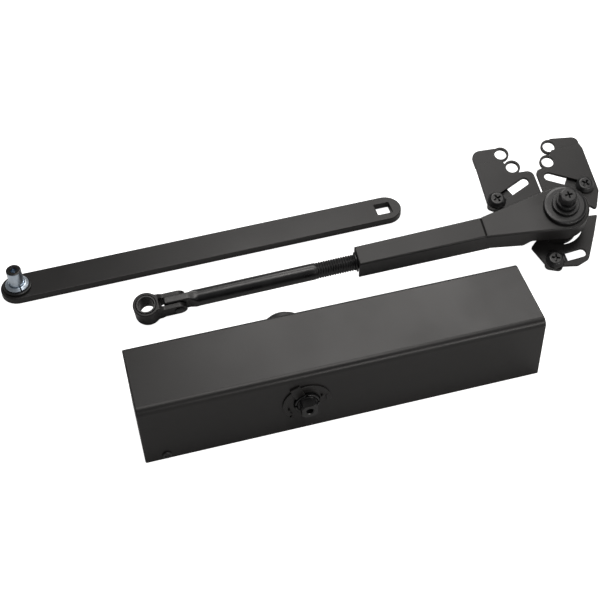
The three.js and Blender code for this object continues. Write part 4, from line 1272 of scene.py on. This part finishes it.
class DOORCLOSER_OT_pivot(bpy.types.Operator):
    """Build the bolt, washers and collar on the pivot"""

    bl_idname = "door_closer.pivot"
    bl_label = "Pivot stack"

    COILS = 2
    COIL_STEPS = 56
    WIRE_HEIGHT = 1.6
    WASHER_BEVEL = 2.2

    def lock_washer(self, sizes):
        """A flat wire wound twice round."""
        wire = rectangle(sizes.bore, sizes.spring, -self.WIRE_HEIGHT / 2, self.WIRE_HEIGHT / 2, 0.3)
        low = sizes.spring_low + self.WIRE_HEIGHT / 2
        rise = sizes.spring_high - sizes.spring_low - self.WIRE_HEIGHT
        total = self.COILS * self.COIL_STEPS
        sections = []
        for i in range(total + 1):
            angle = FULL_TURN * i / self.COIL_STEPS
            height = low + rise * i / total
            sections.append([(*polar(radius, angle), height + up) for radius, up in wire])
        return loft(sections)

    def execute(self, context):
        sizes = in_mm(context.scene.closer_pivot)
        placed = pivot_frame()
        bore = sizes.bore
        outer, low, high = sizes.washer, sizes.washer_low, sizes.washer_high
        washer = lathe(rounded([
            (bore, low, 0.3), (outer, low, 0.7), (outer, high - 0.5, 0.9),
            (outer - self.WASHER_BEVEL, high, 0.8), (bore, high, 0.3),
        ]))
        finish_piece(washer, "washer_of_pivot", placed, "tube", "black_steel", "pivot_washer")
        edges = (0.3, 0.5, 0.7, 0.3)
        collar = ring(bore, sizes.collar, sizes.collar_low, sizes.collar_high, edges)
        finish_piece(collar, "collar_of_pivot", placed, "tube", "black_steel", "pivot_collar")
        coil = self.lock_washer(sizes)
        finish_piece(coil, "coiled_lock_washer", placed, "tube", "black_steel", "lock_washer")

        low, high = sizes.head_low, sizes.head_high
        head = slab(prism(sizes.head_flats, 6), low, high)
        flat = sizes.head_flats / 2
        corner = flat / math.cos(math.pi / 6) + 0.1
        common(head, spun([
            (0, low), (corner - 0.3, low), (corner, low + 0.4), (corner, high - 0.7),
            (flat - 0.7, high, 0.3), (0, high),
        ]))
        shank, end = sizes.shank, sizes.bolt_end
        top = low + OVER
        joined(head, spun([(0, end), (shank, end, 0.6), (shank, top), (0, top)], COARSE))
        cut(head, cross_tool(6.4, 1.7, high, 2.6))
        finish_piece(head, "bolt_of_pivot", placed, "tube", "black_steel", "pivot_bolt")
        return {"FINISHED"}


# ---- The shoe ----

# Places of the plate screws and the far ends of the slots, in millimetres from the pivot.
SCREW_PLACES = {"left": (-44, 34.2), "right": (33.4, 29.9), "lower": (-13.9, -32)}
SLOT_ENDS = {"left": (-15.6, 46.3), "right": (6.5, 46.2), "lower": (9.6, -30.7)}

# Corners of each plate as (x, y, fillet), its set-down tip, its lobes with a fixing hole,
# and the radius of its hollow round the pivot.
PLATES = {
    "left": {
        "blade": [(-52.7, 26, 4), (-22, 26, 1), (-4.6, 26, 2), (-5.3, 55.8, 6), (-16.8, 56.6, 2),
                  (-25, 63), (-27.3, 70.6), (-27.3, 71.8), (-51.6, 73.4)],
        "tip": [(-51.6, 71.2), (-27.3, 69.8), (-26.5, 85.3, 2), (-51.7, 87.3, 9)],
        "tip_lobe": (-26.5, 78.7),
        "lobe": (-21.3, 62.8),
        "hollow": 30,
    },
    "right": {
        "blade": [(-2.8, 26, 2), (24, 18), (29.6, 12, 1), (35.7, 5.4, 2), (43.6, 22.9, 3),
                  (43.9, 66.5, 2), (42.6, 71.4), (17, 71), (10.2, 60.5), (5.6, 55.9, 2),
                  (-3, 54.9, 6)],
        "tip": [(16.5, 69), (42.8, 69), (43.2, 79.5, 10), (18, 83.7, 3)],
        "tip_lobe": (16.5, 75.8),
        "lobe": (10.2, 60.5),
        "hollow": 30,
    },
    "lower": {
        "blade": [(-29.5, -15.8, 2), (-20.1, -40.6, 5), (-10, -38.4, 2), (3.5, -41.2, 4),
                  (14, -37.6, 5), (25.5, -17, 2), (34.5, 0.5, 1), (20, 2), (-20, -8)],
        "hollow": 19.8,
    },
}


class DOORCLOSER_OT_plates(bpy.types.Operator):
    """Build the shoe's three slotted plates"""

    bl_idname = "door_closer.plates"
    bl_label = "Slotted plates"

    def execute(self, context):
        sizes = in_mm(context.scene.closer_shoe)
        placed = pivot_frame()
        low, high, edge = sizes.plate_low, sizes.plate_high, sizes.edge
        for side, shape in PLATES.items():
            slot = stadium(SCREW_PLACES[side], SLOT_ENDS[side], sizes.slot)
            plate = slab(rounded(shape["blade"]), low, high, edge, (slot,))
            if "tip" in shape:
                tip_low, tip_high = low - sizes.jog, high - sizes.jog
                tip = slab(rounded(shape["tip"]), tip_low, tip_high, edge)
                joined(tip, slab(circle(sizes.lobe, shape["tip_lobe"]), tip_low, tip_high, edge))
                joined(plate, slab(circle(sizes.lobe, shape["lobe"]), low, high, edge), tip)
                cut(
                    plate,
                    bore_tool(sizes.hole, low, high, shape["lobe"]),
                    bore_tool(sizes.hole, tip_low, tip_high, shape["tip_lobe"]),
                )
            cut(plate, cylinder(shape["hollow"], -REACH, REACH, sides=FINE))
            node = side + "_plate"
            finish_piece(plate, "slotted_" + node, placed, node, "black_coat", node)
        return {"FINISHED"}


class DOORCLOSER_OT_plate_screws(bpy.types.Operator):
    """Build the three screws that hold the slotted plates"""

    bl_idname = "door_closer.plate_screws"
    bl_label = "Plate screws"

    def execute(self, context):
        sizes = in_mm(context.scene.closer_shoe)
        placed = pivot_frame()
        low, high = sizes.head_low, sizes.head_high
        shank, head = sizes.screw_shank, sizes.screw_head
        for i, (side, place) in enumerate(SCREW_PLACES.items()):
            profile = [
                (0, sizes.screw_low), (shank, sizes.screw_low, 0.5), (shank, low), (head, low, 0.3),
                (head, low + 1.3, 0.8), (head * 0.72, high, 2.2), (0, high),
            ]
            screw = cut(spun(profile, steps=8), cross_tool(7.2, 1.8, high, 2.2))
            turned(screw, about_z(math.radians(20 + 25 * i)))
            shifted(screw, *place)
            node = "plate_screw_" + side
            finish_piece(screw, "screw_of_" + node, placed, "shoe", "black_steel", node)
        return {"FINISHED"}


# ---- Pieces that keep their packed shape ----

KEPT_NODES = {
    "cast_iron": ("housing", "piston", "mounting_plate"),
    "steel": ("spindle_end_plug", "spring_end_plug", "spring_seat", "power_screw", "tube_nut"),
    "spring_steel": ("main_spring",),
    "brass": ("piston_check_valve", "pinion_bearing_front", "pinion_bearing_rear",
              "sweep_valve", "latch_valve", "backcheck_valve"),
    "rubber": ("shaft_seal_front", "shaft_seal_rear"),
    "black_steel": ("body_screw_1", "body_screw_2", "body_screw_3", "body_screw_4", "pivot_bush"),
    "black_coat": ("shoe_base",),
}


class DOORCLOSER_OT_inner_works(bpy.types.Operator):
    """Give the pieces inside the closer, and the shoe's base, their finishes"""

    bl_idname = "door_closer.inner_works"
    bl_label = "Inner works"

    def execute(self, context):
        for slot, nodes in KEPT_NODES.items():
            for node in nodes:
                mesh = frame["nodes"][node].data
                mesh.materials.clear()
                mesh.materials.append(finish_for(slot))
        return {"FINISHED"}


# ---- Stage ----


class DOORCLOSER_OT_stage(bpy.types.Operator):
    """Build the floor, the lights and the camera"""

    bl_idname = "door_closer.stage"
    bl_label = "Stage"

    CAMERA_AT = (-0.162347, -0.584388, 0.761058)
    CAMERA_TURN = (42.5007, 1.5636, -14.8756)
    CAMERA_LENS = 74.83
    FLOOR_SIZE = 12
    FLOOR_DROP = 0.0005
    GLOW = 0.97                 # of the floor, for camera rays only
    WORLD_STRENGTH = 0.2
    LAMP_COLOUR = (1.0, 0.975, 0.95)
    LIGHTS = (
        # name, place, point it faces, width, height, watts
        ("far_softbox", (0.34, 0.78, 1.0), (0.05, 0.0, 0.05), 0.75, 0.45, 7.5),
        ("overhead_softbox", (0.12, 0.14, 1.5), (0.1, 0.1, 0.0), 0.8, 0.5, 9.5),
        ("side_softbox", (1.5, -0.5, 0.8), (0.1, 0.0, 0.0), 0.9, 0.9, 4),
        ("front_softbox", (0.55, -1.2, 0.66), (0.1, 0.0, 0.05), 0.9, 0.14, 8),
    )

    def floor(self):
        half = self.FLOOR_SIZE / 2
        mesh = bpy.data.meshes.new("floor")
        corners = [(-half, -half, 0), (half, -half, 0), (half, half, 0), (-half, half, 0)]
        mesh.from_pydata(corners, [], [(0, 1, 2, 3)])
        floor = new_object("floor", mesh)
        floor.location.z = -self.FLOOR_DROP
        finish = Finish("pale_floor", 0)
        filled(finish.shader, {
            "Base Color": (*bpy.context.scene.closer_finish.floor, 1),
            "Roughness": 0.9,
            "Emission Color": (1, 1, 1, 1),
        })
        rays = finish.node("ShaderNodeLightPath")
        glow = finish.node("ShaderNodeMath")
        glow.operation = "MULTIPLY"
        glow.inputs[1].default_value = self.GLOW
        finish.link(rays.outputs["Is Camera Ray"], glow.inputs[0])
        finish.link(glow.outputs["Value"], finish.shader.inputs["Emission Strength"])
        mesh.materials.append(finish.material)

    def light(self, name, place, target, width, height, watts):
        lamp = bpy.data.lights.new(name, "AREA")
        lamp.shape = "RECTANGLE"
        lamp.size = width
        lamp.size_y = height
        lamp.energy = watts
        lamp.color = self.LAMP_COLOUR
        holder = bpy.data.objects.new(name, lamp)
        holder.location = place
        aim = Vector(target) - Vector(place)
        holder.rotation_euler = aim.to_track_quat("-Z", "Y").to_euler()
        bpy.context.scene.collection.objects.link(holder)

    def execute(self, context):
        scene = context.scene
        self.floor()
        for light in self.LIGHTS:
            self.light(*light)
        world = bpy.data.worlds.new("studio")
        world.use_nodes = True
        background = world.node_tree.nodes["Background"]
        filled(background, {"Color": (1, 1, 1, 1), "Strength": self.WORLD_STRENGTH})
        scene.world = world
        scene.view_settings.view_transform = "Standard"
        camera = bpy.data.cameras.new("camera")
        camera.lens = self.CAMERA_LENS
        camera.clip_start = 0.01
        holder = bpy.data.objects.new("camera", camera)
        holder.location = self.CAMERA_AT
        holder.rotation_euler = [math.radians(angle) for angle in self.CAMERA_TURN]
        scene.collection.objects.link(holder)
        scene.camera = holder
        return {"FINISHED"}


# ---- Panel and registration ----

SIZE_GROUPS = {
    "closer_cover": CoverSizes,
    "closer_spindle": SpindleSizes,
    "closer_arm": ArmSizes,
    "closer_forearm": ForearmSizes,
    "closer_pivot": PivotSizes,
    "closer_shoe": ShoeSizes,
    "closer_finish": FinishColours,
}

OPERATORS = (
    DOORCLOSER_OT_stage,
    DOORCLOSER_OT_inner_works,
    DOORCLOSER_OT_cover,
    DOORCLOSER_OT_cover_screws,
    DOORCLOSER_OT_spindle,
    DOORCLOSER_OT_spindle_cap,
    DOORCLOSER_OT_main_arm,
    DOORCLOSER_OT_eye,
    DOORCLOSER_OT_rod,
    DOORCLOSER_OT_tube,
    DOORCLOSER_OT_pivot,
    DOORCLOSER_OT_plates,
    DOORCLOSER_OT_plate_screws,
)


class DOORCLOSER_PT_sidebar(bpy.types.Panel):
    """Lists the closer's pieces, sizes and colours"""

    bl_label = "Door Closer"
    bl_idname = "DOORCLOSER_PT_sidebar"
    bl_space_type = "VIEW_3D"
    bl_region_type = "UI"
    bl_category = "Closer"

    def draw(self, context):
        for operator in OPERATORS:
            self.layout.operator(operator.bl_idname)
        for holder, group in SIZE_GROUPS.items():
            box = self.layout.box()
            box.label(text=group.__doc__)
            for name in group.__annotations__:
                box.prop(getattr(context.scene, holder), name)


CLASSES = (*SIZE_GROUPS.values(), *OPERATORS, DOORCLOSER_PT_sidebar)


def register():
    for made in CLASSES:
        bpy.utils.register_class(made)
    for holder, group in SIZE_GROUPS.items():
        setattr(bpy.types.Scene, holder, PointerProperty(type=group))


def unregister():
    for holder in SIZE_GROUPS:
        delattr(bpy.types.Scene, holder)
    for made in reversed(CLASSES):
        bpy.utils.unregister_class(made)


def main():
    register()
    for operator in OPERATORS:
        name = operator.bl_idname.split(".")[1]
        getattr(bpy.ops.door_closer, name)()


if __name__ == "__main__":
    main()
